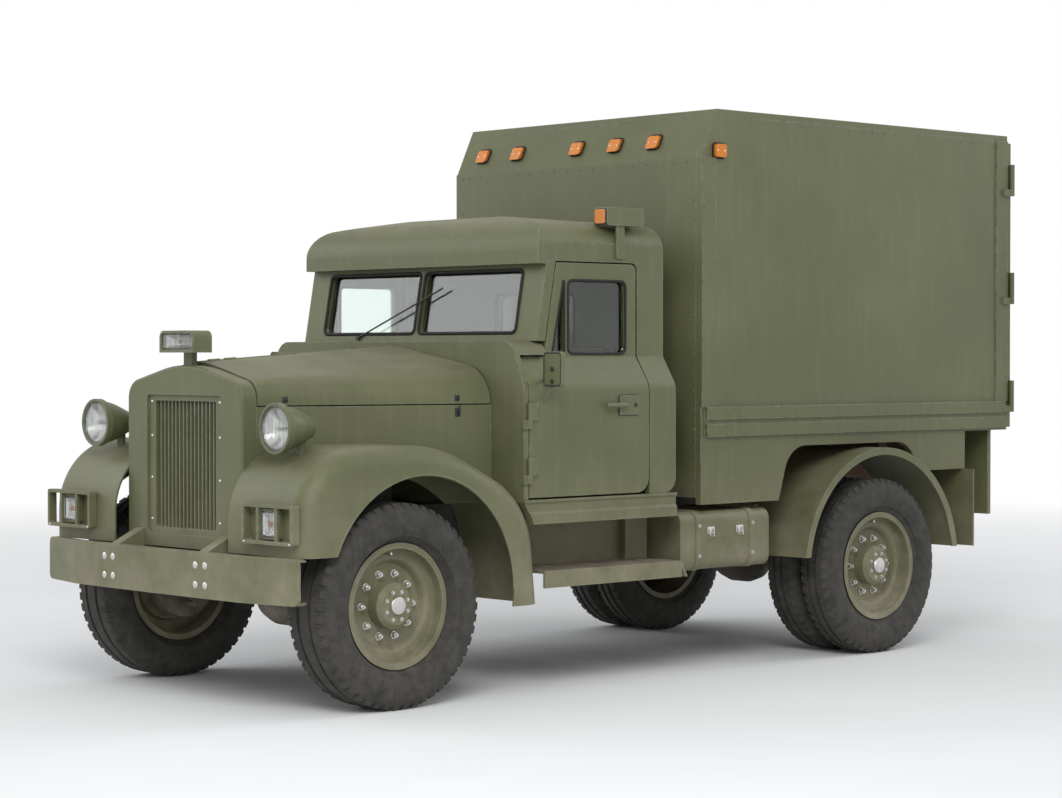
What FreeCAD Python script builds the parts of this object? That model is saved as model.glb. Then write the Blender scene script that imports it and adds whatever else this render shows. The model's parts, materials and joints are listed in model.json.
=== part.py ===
import FreeCAD, Part
import math
import os
import Sketcher

os.makedirs("parts", exist_ok=True)
doc = FreeCAD.newDocument("cargo_truck")

# Driving dimensions in millimetres and degrees.
# Lengths along the truck are measured from the front axle, positive towards the tail.
# Heights are measured from the ground, and widths from the truck's middle plane.
DIMENSIONS = dict(
    # Wheels and tyres
    tyre_radius=525, tyre_bead_radius=305, tyre_shoulder=58, tyre_waist_radius=428,
    front_tyre_width=320, front_tyre_face=1105, rear_tyre_width=236, rear_tyre_face=1140, twin_gap=28,
    rim_radius=322, rim_lip=3.2, rim_wall=14, rim_width=212, rim_width_rear=170,
    dish_radius=226, dish_lip=12, disc_wall=14, disc_set=34, dish_depth=46,
    hub_radius=118, hub_reach=62, hub_edge=22, hub_bore=42, hub_length=150, shaft_clearance=0.05,
    # Axles, knuckles and springs
    axle_tube_radius=58, rear_tube_radius=68, differential_radius=165, differential_offset=170,
    differential_half=190, differential_shoulder=126, differential_crown=58, differential_waist=142,
    king_pin_reach=715, king_pin_radius=20, knuckle_barrel=30, knuckle_arm_half=26,
    brake_start=75, brake_radius=190, brake_width=100, rear_brake_start=655, rear_brake_width=235,
    fork_height=96, fork_ear=26, fork_back=38, fork_wall=28, fork_front=30, fork_half=36, running_gap=6,
    axle_seat=32, spring_width=74, spring_leaf=13, spring_leaves=6, spring_half=590, spring_bow=2400,
    spring_step=78, spring_hanger=46, spring_seat_half=90,
    # Chassis frame, its horns and the towing eye
    rail_reach=430, rail_flange=72, rail_web=10, rail_low=780, rail_depth=205, rail_front=-470,
    horn_high=880, horn_tip_high=786, horn_tip_low=612, horn_bend=-604,
    cross_depth=110, cross_wall=12, cross_width=80,
    tow_hole_radius=26, tow_tongue_wall=24, tow_tongue_half=90, tow_tongue_reach=110,
    # Bumper
    bumper_half=1110, bumper_low=570, bumper_high=800, bumper_face=-770, bumper_sweep=88, bumper_wall=16,
    bumper_lip=60, bumper_corner=36,
    # Radiator shell, grille and core
    shell_half=510, shell_low=790, shell_shoulder=1646, shell_rise=118, shell_front=-574, shell_back=-482,
    shell_corner=105, shell_crown_round=900, shell_edge=14, mouth_half=330, mouth_foot=70, mouth_drop=61,
    mouth_corner=22, grille_frame=62, grille_setback=14, grille_depth=30, slat_width=9, slat_count=15,
    core_depth=50, core_margin=24,
    # Hood
    hood_rear=815, hood_rear_set=250, hood_shoulder_lift=6, hood_crown_lift=12, hood_shoulder_climb=60,
    hood_crown_climb=80, hood_front_round=100, hood_rear_round=230, hood_crown_round=700,
    hood_split_drop=122, hood_foot=1010, hood_wall=12, lid_gap=6,
    hinge_radius=10, hinge_set=18, hinge_front_drop=24, hinge_rear_drop=20, knuckle_length=70, knuckle_wall=5,
    # Front fenders
    fender_front=-660, fender_spread=22, fender_top=1335, fender_wall=12,
    fender_front_low=800, fender_rear_low=480, fender_rear=935, fender_front_round=380,
    fender_top_break=280, fender_top_round=900, fender_shoulder=880, fender_shoulder_high=1030,
    fender_shoulder_round=450, fender_roll=104, arch_centre=120, arch_centre_high=575, arch_radius=612,
    arch_step=12,
    # Lamps
    headlamp_reach=800, headlamp_high=1428, headlamp_front=-585, headlamp_radius=128, headlamp_depth=215,
    headlamp_back_radius=52, headlamp_rim=14, headlamp_stem=24, headlamp_recess=84, headlamp_base=36,
    lens_wall=6, lens_ledge=8,
    cluster_reach=886, cluster_half=205, cluster_low=862, cluster_high=1062, cluster_bar=18,
    cluster_depth=46, cluster_lamp=150, cluster_round=16,
    top_lamp_half=150, top_lamp_stand=42, top_lamp_height=114, top_lamp_lead=44, top_lamp_depth=120,
    top_lamp_round=38, top_lamp_stem=70, top_lamp_lip=14, top_lamp_recess=50,
    roof_lamp_set=28, roof_lamp_front=1505, roof_lamp_rear=1790, roof_lamp_low=2500, roof_lamp_high=2600,
    roof_lamp_half=52, roof_lamp_round=20, roof_stem_front=1590, roof_stem_rear=1650, roof_stem_low=2320,
    roof_stem_wall=12,
    # Cab shell, cowl and doors
    cab_half=1100, cab_tumble=100, belt_low=1625, belt_rise=160, cab_wall=46, cab_lift=45,
    cab_rear=1965, cab_top=2400, cab_round=110, cab_corner=90,
    cowl_front=818, cowl_hold=16, cowl_rise=12, cowl_round=150, deck_wall=30,
    door_front=858, door_rear=1752, door_sill=10, door_high=2290, door_corner=85, door_top_corner=45,
    door_gap=8, pillar_low_edge=1056, pillar_high_edge=1146, pillar_depth=62,
    window_front=1232, window_rear=1668, window_low=1800, window_high=2196, window_corner=34,
    vent_bar=26, vent_low_front=1112, vent_high_front=1196, glass_wall=6,
    door_hinge_set=15, door_hinge_radius=13, door_hinge_length=90, door_hinge_low=1160, door_hinge_high=1450,
    door_sweep=1, handle_front=1520, handle_rear=1672, handle_low=1468, handle_high=1574, handle_base=10,
    lever_front=1392, lever_high=1521, lever_radius=13, lever_out=36,
    mirror_out=88, mirror_span=70, mirror_place=939, mirror_low=1625, mirror_high=1812,
    mirror_depth=30, mirror_round=24, mirror_arm_radius=9,
    # Windshield, wiper, roof and rear window
    screen_bar=34, screen_side=174, screen_high=2296, screen_margin=44, screen_corner=30,
    wiper_width=14, wiper_depth=10, wiper_start=500, wiper_end=190,
    roof_front=1012, roof_brow_low=2282, roof_brow_high=2500, roof_front_round=190, roof_middle=1330,
    roof_middle_high=2572, roof_middle_round=500, roof_back_high=2530, roof_rear_round=90,
    roof_side_high=2500, roof_side_round=150, roof_top_round=1500, roof_shell=34,
    rear_window_half=330, rear_window_low=1830, rear_window_high=2150, rear_window_corner=50,
    # Cab floor, seats and controls
    sill_drop=130, sill_moulding=10, sill_groove=24,
    seat_front=1180, seat_rear=1700, seat_margin=140, riser_high=1210, cushion_high=1380, cushion_inset=10,
    cushion_round=45, back_depth=150, back_lean=120, back_high=1880, seat_gap=1,
    dash_low=1430, dash_high=1790, dash_depth=70, dash_round=30, column_radius=26, wheel_ring_radius=225,
    wheel_grip_radius=14, wheel_reach=470, wheel_place=1105, wheel_high=1600, wheel_tilt=32,
    wheel_hub_radius=48, spoke_radius=9, spoke_count=3,
    # Running boards, side boxes and rear mudguards
    board_front=950, board_rear=2040, board_width=340, board_out=20, board_low=560, board_high=690,
    board_step=40, board_round=45, hanger_front=1820, hanger_rear=1990, hanger_wall=14,
    bracket_width=70, bracket_height=60,
    side_box_lead=87, side_box_set=930, side_box_low=580, side_box_high=910, side_box_inner=520,
    side_box_out=12, side_box_round=60, strap_width=46, strap_wall=6, strap_front_share=0.2,
    guard_radius=712, guard_wall=12, guard_inner=640, guard_out=6, guard_lip=44, guard_low=610,
    flap_set=910, flap_low=600, flap_wall=12, stay_reach=652,
    # Engine and driveline
    engine_front=-340, engine_rear=620, engine_half=255, engine_low=760, engine_high=1430,
    gearbox_rear=1250, gearbox_half=160, gearbox_low=700, gearbox_high=960,
    shaft_radius=42, shaft_gap=1, transfer_front=1450, transfer_rear=1900, transfer_half=190,
    transfer_low=540, transfer_high=900, transfer_round=60,
    silencer_radius=80, silencer_lead=115, silencer_set=1020, silencer_reach=230, pipe_high=700,
    pipe_radius=28, pipe_front=300, pipe_set=30,
    # Box body; its rear parts are set out from the rear axle
    rear_reach=1755, rear_overhang=1350, box_gap=265,
    box_half=1040, box_wall=40, box_top=3187, brow_drop=277, brow_set=130, roof_panel=36,
    box_lift=331, box_floor_wall=56, bearer_height=150, bearer_width=80, bearer_count=6, bearer_reach=600,
    skirt_low=947, skirt_set=830, arch_foot_set=735, box_arch_high=1262,
    arch_rear_set=390, box_arch_round=190, tail_start_set=460, skirt_tail_low=1080, tail_rear_set=920,
    rail_band_low=1330, rail_band_high=1498, rail_band_out=22, band_front_set=32, band_rear_set=40,
    rail_groove=12, corner_trim=120, corner_trim_wall=9,
    rear_panel_set=110, rear_panel_wall=30,
    rear_header=110, rear_jamb=70, rear_door_wall=40, rear_door_gap=8, rear_door_edge=1032,
    rear_hinge_radius=15, rear_hinge_set=20, rear_hinge_length=160, rear_hinge_place=28, rear_hinge_leaf=8,
    door_lock_radius=14, door_lock_set=70,
    marker_half=44, marker_height=74, marker_depth=26, marker_round=16, marker_drop=170,
    side_marker_set=142, side_marker_drop=237,
    tail_lamp_radius=62, tail_lamp_depth=44, tail_lamp_reach=860, tail_lamp_high=1050, tail_lamp_step=150,
    # Overruns and seats
    overrun=40, seat=0.3,
)

sheet = doc.addObject("Spreadsheet::Sheet", "Sheet")
for row, (name, value) in enumerate(DIMENSIONS.items(), start=1):
    sheet.set(f"A{row}", name)
    sheet.set(f"B{row}", str(value))
    sheet.setAlias(f"B{row}", name)
doc.recompute()


class Size:
    """A size that knows its value and the sheet expression that gives it."""

    def __init__(self, value, text):
        self.value = value
        self.text = text

    def combine(self, other, sign, value):
        return Size(value, f"({self.text} {sign} {as_size(other).text})")

    def __add__(self, other):
        return self.combine(other, "+", self.value + as_size(other).value)

    def __sub__(self, other):
        return self.combine(other, "-", self.value - as_size(other).value)

    def __mul__(self, other):
        return self.combine(other, "*", self.value * as_size(other).value)

    def __truediv__(self, other):
        return self.combine(other, "/", self.value / as_size(other).value)

    def __radd__(self, other):
        return as_size(other) + self

    def __rsub__(self, other):
        return as_size(other) - self

    def __rmul__(self, other):
        return as_size(other) * self

    def __neg__(self):
        return Size(-self.value, f"(0 - {self.text})")


def as_size(number):
    return number if isinstance(number, Size) else Size(float(number), repr(float(number)))


class Sizes:
    """The sheet's sizes, read as attributes."""

    def __getattr__(self, name):
        return Size(float(getattr(sheet, name)), f"Sheet.{name}")


S = Sizes()

# Sizes worked out from those above.
S.wheelbase = S.cab_rear + S.rear_reach
S.rail_high = S.rail_low + S.rail_depth
S.shell_crown = S.shell_shoulder + S.shell_rise
S.mouth_low = S.shell_low + S.mouth_foot
S.mouth_high = S.shell_shoulder - S.mouth_drop
S.hood_front_shoulder = S.shell_shoulder + S.hood_shoulder_lift
S.hood_front_crown = S.shell_crown + S.hood_crown_lift
S.hood_rear_shoulder = S.hood_front_shoulder + S.hood_shoulder_climb
S.hood_rear_crown = S.hood_front_crown + S.hood_crown_climb
S.hood_split = S.hood_front_shoulder - S.hood_split_drop
S.hinge_front_high = S.hood_front_crown - S.hinge_front_drop
S.hinge_rear_high = S.hood_rear_crown - S.hinge_rear_drop
S.cowl_top = S.hood_rear_crown + S.cowl_rise
S.top_lamp_low = S.shell_crown + S.top_lamp_stand
S.top_lamp_high = S.top_lamp_low + S.top_lamp_height
S.cab_upper_half = S.cab_half - S.cab_tumble
S.cab_low = S.rail_high + S.cab_lift
S.belt_high = S.belt_low + S.belt_rise
S.door_low = S.cab_low + S.door_sill
S.sill_low = S.cab_low - S.sill_drop
S.hood_rear_half = S.cab_half - S.hood_rear_set
S.fender_outer = S.cab_half + S.fender_spread
S.screen_half = S.cab_upper_half - S.screen_side
S.seat_half = S.cab_upper_half - S.seat_margin
S.roof_lamp_reach = S.cab_upper_half - S.roof_lamp_set
S.mirror_reach = S.cab_half + S.mirror_out
S.board_outer = S.cab_half + S.board_out
S.board_inner = S.board_outer - S.board_width
S.box_front = S.cab_rear + S.box_gap
S.box_rear = S.wheelbase + S.rear_overhang
S.brow_low = S.box_top - S.brow_drop
S.box_floor_low = S.rail_high + S.box_lift
S.box_front_low = S.rail_high + S.seat
S.box_floor_high = S.box_floor_low + S.box_floor_wall
S.skirt_rear = S.wheelbase - S.skirt_set
S.arch_front_foot = S.wheelbase - S.arch_foot_set
S.box_arch_rear = S.wheelbase + S.arch_rear_set
S.skirt_tail_start = S.wheelbase + S.tail_start_set
S.skirt_tail_rear = S.wheelbase + S.tail_rear_set
S.rail_band_front = S.box_front + S.band_front_set
S.rail_band_rear = S.box_rear - S.band_rear_set
S.post_rear = S.box_rear - S.rear_panel_set
S.rail_rear = S.post_rear - S.rear_panel_wall - S.seat_gap
S.side_box_front = S.cab_rear + S.side_box_lead
S.side_box_rear = S.wheelbase - S.side_box_set
S.side_box_outer = S.box_half + S.side_box_out
S.guard_outer = S.rear_tyre_face + S.guard_out
S.flap_rear = S.wheelbase + S.flap_set
S.silencer_front = S.cab_rear + S.silencer_lead
S.silencer_rear = S.wheelbase - S.silencer_set
S.pipe_end = S.box_half - S.pipe_set
S.side_marker_place = S.box_front + S.side_marker_set
S.side_marker_high = S.box_top - S.side_marker_drop

X_AXIS = FreeCAD.Vector(1, 0, 0)
Y_AXIS = FreeCAD.Vector(0, 1, 0)
Z_AXIS = FreeCAD.Vector(0, 0, 1)

# Each plane's sketch directions, and the world axis that its prisms run along.
PLANES = dict(
    YZ=(FreeCAD.Rotation(Y_AXIS, Z_AXIS, X_AXIS, "ZXY"), "x", X_AXIS),
    XZ=(FreeCAD.Rotation(X_AXIS, 90), "y", Y_AXIS),
    XY=(FreeCAD.Rotation(), "z", Z_AXIS),
)
nodes = {}
made = {}


def unique(name):
    made[name] = made.get(name, 0) + 1
    return f"{name}_{made[name]}"


def bind(thing, prop, value):
    """Set a property now and tie it to the sheet."""
    value = as_size(value)
    thing.setExpression(prop, value.text)


def hold_point(held, point, x, y):
    """Add the two distances that hold a sketch point to the list of constraints and sizes."""
    for kind, value in (("DistanceX", x), ("DistanceY", y)):
        value = as_size(value)
        held.append((Sketcher.Constraint(kind, -1, 1, point[0], point[1], value.value), value))


def draw_outline(sketch, corners):
    """Draw a closed outline of straight runs; a corner with a third value is rounded by that radius."""
    count = len(corners)
    places = [FreeCAD.Vector(as_size(c[0]).value, as_size(c[1]).value, 0) for c in corners]
    if sum(places[i - 1].cross(places[i]).z for i in range(count)) < 0:
        corners, places = corners[::-1], places[::-1]
    starts, ends, arcs = [], [], {}
    for index, corner in enumerate(corners):
        place, before, after = places[index], places[index - 1], places[(index + 1) % count]
        start = end = place
        if len(corner) > 2:
            radius = as_size(corner[2]).value
            back, forth = (before - place).normalize(), (after - place).normalize()
            half = math.acos(max(-1, min(1, back.dot(forth)))) / 2
            start, end = place + back * (radius / math.tan(half)), place + forth * (radius / math.tan(half))
            centre = place + (back + forth).normalize() * (radius / math.sin(half))
            middle = centre + (place - centre).normalize() * radius
            arcs[index] = sketch.addGeometry(Part.Arc(start, middle, end))
        starts.append(start)
        ends.append(end)
    lines = [sketch.addGeometry(Part.LineSegment(ends[i], starts[(i + 1) % count])) for i in range(count)]
    held = []
    for index, corner in enumerate(corners):
        before, after = lines[index - 1], lines[index]
        if index not in arcs:
            held.append((Sketcher.Constraint("Coincident", before, 2, after, 1), None))
            hold_point(held, (after, 1), corner[0], corner[1])
            continue
        arc, radius = arcs[index], as_size(corner[2])
        geometry = sketch.Geometry[arc]
        gaps = [(end - starts[index]).Length for end in (geometry.StartPoint, geometry.EndPoint)]
        first = 1 if gaps[0] < gaps[1] else 2
        apex = sketch.addGeometry(Part.Point(places[index]), True)
        held.append((Sketcher.Constraint("Tangent", before, 2, arc, first), None))
        held.append((Sketcher.Constraint("Tangent", arc, 3 - first, after, 1), None))
        held.append((Sketcher.Constraint("PointOnObject", apex, 1, before), None))
        held.append((Sketcher.Constraint("PointOnObject", apex, 1, after), None))
        held.append((Sketcher.Constraint("Radius", arc, radius.value), radius))
        hold_point(held, (apex, 1), corner[0], corner[1])
    sketch.addConstraint([constraint for constraint, _ in held])
    for number, (_, value) in enumerate(held):
        if value is not None and "Sheet" in value.text:
            sketch.setExpression(f"Constraints[{number}]", value.text)


def outline(plane, corners, offset=0):
    """A sketch on a world plane, moved along that plane's normal by the offset."""
    rotation, axis, normal = PLANES[plane]
    sketch = doc.addObject("Sketcher::SketchObject", unique("outline"))
    sketch.Placement = FreeCAD.Placement(normal * as_size(offset).value, rotation)
    draw_outline(sketch, corners)
    bind(sketch, f"Placement.Base.{axis}", offset)
    return sketch


def prism(plane, corners, start, end):
    """An outline on a plane, run from one place to another along the plane's normal."""
    return extrude(outline(plane, corners, start), PLANES[plane][2], as_size(end) - start)


def extrude(sketch, direction, length):
    solid = doc.addObject("Part::Extrusion", unique("prism"))
    solid.Base = sketch
    solid.DirMode = "Custom"
    solid.Dir = direction
    solid.Solid = True
    bind(solid, "LengthFwd", length)
    return solid


def rectangle(low_x, high_x, low_y, high_y, radius=None):
    rounding = () if radius is None else (radius,)
    return [(low_x, low_y, *rounding), (high_x, low_y, *rounding),
            (high_x, high_y, *rounding), (low_x, high_y, *rounding)]


def block(x, y, z):
    """A box between two places on each axis."""
    solid = doc.addObject("Part::Box", unique("block"))
    for prop, axis, (low, high) in (("Length", "x", x), ("Width", "y", y), ("Height", "z", z)):
        bind(solid, prop, as_size(high) - low)
        bind(solid, f"Placement.Base.{axis}", low)
    return solid


def rod(axis, centre, radius, start, end):
    """A cylinder along an axis; the centre gives the other two places, in axis order."""
    solid = doc.addObject("Part::Cylinder", unique("rod"))
    turns = dict(x=FreeCAD.Rotation(Y_AXIS, 90), y=FreeCAD.Rotation(X_AXIS, -90), z=FreeCAD.Rotation())
    solid.Placement = FreeCAD.Placement(FreeCAD.Vector(), turns[axis])
    bind(solid, "Radius", radius)
    bind(solid, "Height", as_size(end) - start)
    places = dict(zip([letter for letter in "xyz" if letter != axis], centre))
    places[axis] = start
    for letter, value in places.items():
        bind(solid, f"Placement.Base.{letter}", value)
    return solid


def ball(centre, radius):
    solid = doc.addObject("Part::Sphere", unique("ball"))
    bind(solid, "Radius", radius)
    for letter, value in zip("xyz", centre):
        bind(solid, f"Placement.Base.{letter}", value)
    return solid


def link(start, end, radius):
    """A round bar between two points."""
    solid = doc.addObject("Part::Cylinder", unique("link"))
    first, last = [FreeCAD.Vector(*[as_size(value).value for value in point]) for point in (start, end)]
    run = last - first
    solid.Placement = FreeCAD.Placement(first, FreeCAD.Rotation(Z_AXIS, run))
    bind(solid, "Radius", radius)
    squares = [f"({(as_size(b) - a).text}) ^ 2" for a, b in zip(start, end)]
    solid.setExpression("Height", f"sqrt({' + '.join(squares)})")
    for letter, value in zip("xyz", start):
        bind(solid, f"Placement.Base.{letter}", value)
    return solid


def fuse(*pieces):
    solid = doc.addObject("Part::MultiFuse", unique("fuse"))
    solid.Shapes = list(pieces)
    return solid


def cut(base, *tools):
    solid = doc.addObject("Part::Cut", unique("cut"))
    solid.Base = base
    solid.Tool = tools[0] if len(tools) == 1 else fuse(*tools)
    return solid


def common(*pieces):
    solid = doc.addObject("Part::MultiCommon", unique("common"))
    solid.Shapes = list(pieces)
    return solid


def loft(*sketches):
    solid = doc.addObject("Part::Loft", unique("loft"))
    solid.Sections = list(sketches)
    solid.Solid = True
    solid.Ruled = False
    return solid


def mirrored(source):
    solid = doc.addObject("Part::Mirroring", unique("mirrored"))
    solid.Source = source
    solid.Normal = X_AXIS
    return solid


def group(*pieces):
    """Separate solids that share a node."""
    solid = doc.addObject("Part::Compound", unique("group"))
    solid.Links = list(pieces)
    return solid


def pair(source):
    return group(source, mirrored(source))


def rounded(base, radius, chosen):
    """Round the edges of a solid that the test chooses."""
    doc.recompute()
    solid = doc.addObject("Part::Fillet", unique("rounded"))
    solid.Base = base
    value = as_size(radius).value
    solid.Edges = [(i, value, value) for i, edge in enumerate(base.Shape.Edges, start=1) if chosen(edge)]
    return solid


# The model's origin is on the ground below the middle of the truck's length.
centre_reach = (S.box_rear + S.rear_door_wall + S.rear_hinge_radius + S.bumper_face) / 2


def node(label, solid):
    """Name a sub-part and move it from the axle's frame to the truck's own."""
    held = doc.addObject("Part::Compound", label) if solid.TypeId == "Part::Compound" else solid
    if held is not solid:
        held.Links = [solid]
    held.Label = label
    if held.TypeId != "Part::Mirroring":
        bind(held, "Placement.Base.y", -centre_reach)
    nodes[label] = held


# Wheels and tyres

def turned_body(name, corners):
    """A body turned about its own X axis, from an outline of distance along the axis and radius."""
    body = doc.addObject("PartDesign::Body", unique(name))
    sketch = body.newObject("Sketcher::SketchObject", unique("section"))
    plane = next(item for item in body.Origin.OriginFeatures if item.Role == "XY_Plane")
    sketch.AttachmentSupport = (plane, [""])
    sketch.MapMode = "FlatFace"
    draw_outline(sketch, corners)
    turn = body.newObject("PartDesign::Revolution", unique("turn"))
    turn.Profile = sketch
    turn.ReferenceAxis = (sketch, ["H_Axis"])
    turn.Angle = 360
    return body


def tyre_outline(width, middle, rim):
    """Section of a tyre about its middle, from its bead over the widest point to the tread."""
    sides = []
    for sign in (-1, 1):
        edge = middle + sign * width / 2
        bead = middle + sign * (rim / 2 - S.rim_wall - S.seat)
        sides.append([(bead, S.tyre_bead_radius + S.seat), (edge, S.tyre_waist_radius),
                      (edge - sign * S.tyre_shoulder, S.tyre_radius)])
    return sides[0] + sides[1][::-1]


def rim_outline(width, middle, disc_place):
    """Section of a rim, its dished disc and its hub, from the hub's back round to its nose."""
    low, high = middle - width / 2, middle + width / 2
    bead = S.tyre_bead_radius
    return [
        (disc_place - S.hub_length / 2, S.hub_bore + S.shaft_clearance),
        (disc_place - S.hub_length / 2, S.hub_radius),
        (disc_place - S.dish_depth, S.hub_radius),
        (disc_place - S.dish_depth, S.dish_radius - S.disc_wall),
        (disc_place - S.disc_wall, S.dish_radius),
        (disc_place - S.disc_wall, bead - S.rim_wall),
        (low, bead - S.rim_wall),
        (low, S.rim_radius),
        (low + S.rim_lip, S.rim_radius),
        (low + S.rim_wall, bead),
        (high - S.rim_wall, bead),
        (high - S.rim_lip, S.rim_radius),
        (high, S.rim_radius),
        (high, bead - S.rim_wall),
        (disc_place + S.disc_wall, bead - S.rim_wall),
        (disc_place + S.disc_wall, S.dish_radius + S.dish_lip),
        (disc_place, S.dish_radius),
        (disc_place - S.dish_depth + S.disc_wall, S.dish_radius - S.disc_wall),
        (disc_place - S.dish_depth + S.disc_wall, S.hub_radius),
        (disc_place + S.hub_reach - S.hub_edge, S.hub_radius),
        (disc_place + S.hub_reach, S.hub_radius - S.hub_edge),
        (disc_place + S.hub_reach, 0),
        (disc_place - S.hub_edge, 0),
        (disc_place - S.hub_edge, S.hub_bore + S.shaft_clearance),
    ]


def place_wheel(body, place_y):
    """Set a turned body's axis at an axle."""
    bind(body, "Placement.Base.y", place_y - centre_reach)
    bind(body, "Placement.Base.z", S.tyre_radius)
    return body


def make_wheels():
    """The left wheels and tyres, and their mirrored right ones; the rear ones are twins."""
    front_middle = S.front_tyre_face - S.front_tyre_width / 2
    rear_outer = S.rear_tyre_face - S.rear_tyre_width / 2
    rear_inner = rear_outer - S.rear_tyre_width - S.twin_gap
    front_disc = front_middle + S.disc_set
    rear_disc = rear_outer + S.disc_set / 2
    half, bead = S.rim_width_rear / 2, S.tyre_bead_radius
    inner_low, inner_high = rear_inner - half, rear_inner + half
    inner_rim = [
        (inner_low, bead - S.rim_wall), (rear_outer - half, bead - S.rim_wall), (rear_outer - half, bead),
        (inner_high, bead), (inner_high, S.rim_radius), (inner_high - S.rim_lip, S.rim_radius),
        (inner_high - S.rim_wall, bead), (inner_low + S.rim_wall, bead),
        (inner_low + S.rim_lip, S.rim_radius), (inner_low, S.rim_radius),
    ]
    front, rear = as_size(0), S.wheelbase
    tread = tyre_outline(S.front_tyre_width, front_middle, S.rim_width)
    tyre = place_wheel(turned_body("tyre", tread), front)
    wheel = place_wheel(turned_body("wheel", rim_outline(S.rim_width, front_middle, front_disc)), front)
    twins = [place_wheel(turned_body("tyre", tyre_outline(S.rear_tyre_width, middle, S.rim_width_rear)), rear)
             for middle in (rear_outer, rear_inner)]
    rims = [place_wheel(turned_body("wheel", corners), rear)
            for corners in (rim_outline(S.rim_width_rear, rear_outer, rear_disc), inner_rim)]
    for label, solid in (("tyre_front", tyre), ("wheel_front", wheel), ("tyre_rear", group(*twins)),
                         ("wheel_rear", fuse(*rims))):
        for word, one in (("left", solid), ("right", mirrored(solid))):
            one.Label = f"{label}_{word}"
            nodes[one.Label] = one


make_wheels()


# Axles, steering knuckles and springs

AXLE = S.tyre_radius


def turned_axle(name, half, place):
    """A beam turned about an axle's line, from one half of its section, the hub end first."""
    section = [(-reach, radius) for reach, radius in half] + half[::-1]
    body = turned_body(name, section)
    bind(body, "Placement.Base.y", place)
    bind(body, "Placement.Base.z", AXLE)
    return body


def front_axle():
    king = S.king_pin_reach
    tube_end = king - S.fork_back - S.fork_wall / 2
    offset, tube = S.differential_offset, S.axle_tube_radius
    beam = turned_body("beam", [
        (-tube_end, 0), (-tube_end, tube), (offset - S.differential_half, tube),
        (offset - S.differential_shoulder, S.differential_waist),
        (offset - S.differential_crown, S.differential_radius),
        (offset + S.differential_crown, S.differential_radius),
        (offset + S.differential_shoulder, S.differential_waist),
        (offset + S.differential_half, tube), (tube_end, tube), (tube_end, 0)])
    bind(beam, "Placement.Base.z", AXLE)
    fork = cut(
        block((king - S.fork_back - S.fork_wall, king + S.fork_front), (-S.fork_half, S.fork_half),
              (AXLE - S.fork_height - S.fork_ear, AXLE + S.fork_height + S.fork_ear)),
        block((king - S.fork_back, king + S.fork_front + S.overrun), (-S.fork_half - S.overrun,
              S.fork_half + S.overrun), (AXLE - S.fork_height, AXLE + S.fork_height)),
        rod("z", (king, 0), S.king_pin_radius + S.shaft_clearance,
            AXLE - S.fork_height - S.fork_ear - S.overrun, AXLE + S.fork_height + S.fork_ear + S.overrun),
    )
    node("front_axle", fuse(beam, fork, mirrored(fork), *springs(as_size(0), tube)))


def springs(place, tube_radius):
    """A leaf spring under each rail: leaves of falling length, hangers at its ends, and its seat."""
    middle = S.rail_reach - S.rail_flange / 2
    low, high = middle - S.spring_width / 2, middle + S.spring_width / 2
    stack_low = AXLE + tube_radius + S.axle_seat
    half, leaf, bow = S.spring_half, S.spring_leaf, S.spring_bow
    stack_high = stack_low + S.spring_leaves * leaf
    end_high = stack_high + half * half / (bow * 2)
    pieces = []
    for count in range(int(S.spring_leaves.value)):
        centre = (place, stack_high + bow)
        band = cut(rod("x", centre, bow + leaf * (count + 1), low, high),
                   rod("x", centre, bow + leaf * count, low - S.overrun, high + S.overrun))
        trim = half - count * S.spring_step
        keep = block((low, high), (place - trim, place + trim), (stack_low - leaf, end_high))
        pieces.append(common(band, keep))
    for sign in (-1, 1):
        end = place + sign * (half - S.spring_hanger / 2)
        pieces.append(block((low, high), (end - S.spring_hanger / 2, end + S.spring_hanger / 2),
                            (end_high - leaf * 2, S.rail_low - S.seat)))
    pieces.append(block((low, high), (place - S.spring_seat_half, place + S.spring_seat_half),
                        (AXLE, stack_low + leaf)))
    one = fuse(*pieces)
    return one, mirrored(one)


def rear_axle():
    """A beam with its bulged differential and its two brake drums, and stub shafts for the hubs."""
    disc = S.rear_tyre_face - S.rear_tyre_width / 2 + S.disc_set / 2
    shaft_end = disc - S.hub_edge - S.running_gap / 2
    brake_end = S.rear_brake_start + S.rear_brake_width
    beam = turned_axle("beam", [
        (shaft_end, 0), (shaft_end, S.hub_bore), (brake_end, S.hub_bore), (brake_end, S.brake_radius),
        (S.rear_brake_start, S.brake_radius), (S.rear_brake_start, S.rear_tube_radius),
        (S.differential_half, S.rear_tube_radius), (S.differential_shoulder, S.differential_waist),
        (S.differential_crown, S.differential_radius)], S.wheelbase)
    node("rear_axle", fuse(beam, *springs(S.wheelbase, S.rear_tube_radius)))


def knuckles():
    king = S.king_pin_reach
    disc = S.front_tyre_face - S.front_tyre_width / 2 + S.disc_set
    spindle_end = disc - S.hub_edge - S.running_gap / 2
    pin = rod("z", (king, 0), S.king_pin_radius, AXLE - S.fork_height - S.fork_ear,
              AXLE + S.fork_height + S.fork_ear)
    barrel = rod("z", (king, 0), S.knuckle_barrel, AXLE - S.fork_height + S.running_gap,
                 AXLE + S.fork_height - S.running_gap)
    arm = block((king, king + S.brake_start + S.running_gap), (-S.knuckle_arm_half, S.knuckle_arm_half),
                (AXLE - S.fork_height + S.running_gap * 2, AXLE + S.fork_height - S.running_gap * 2))
    brake = rod("x", (0, AXLE), S.brake_radius, king + S.brake_start, king + S.brake_start + S.brake_width)
    spindle = rod("x", (0, AXLE), S.hub_bore, king + S.brake_start, spindle_end)
    left = fuse(pin, barrel, arm, brake, spindle)
    node("knuckle_left", left)
    node("knuckle_right", mirrored(left))


front_axle()
rear_axle()
knuckles()

# Chassis frame, engine and driveline


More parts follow.
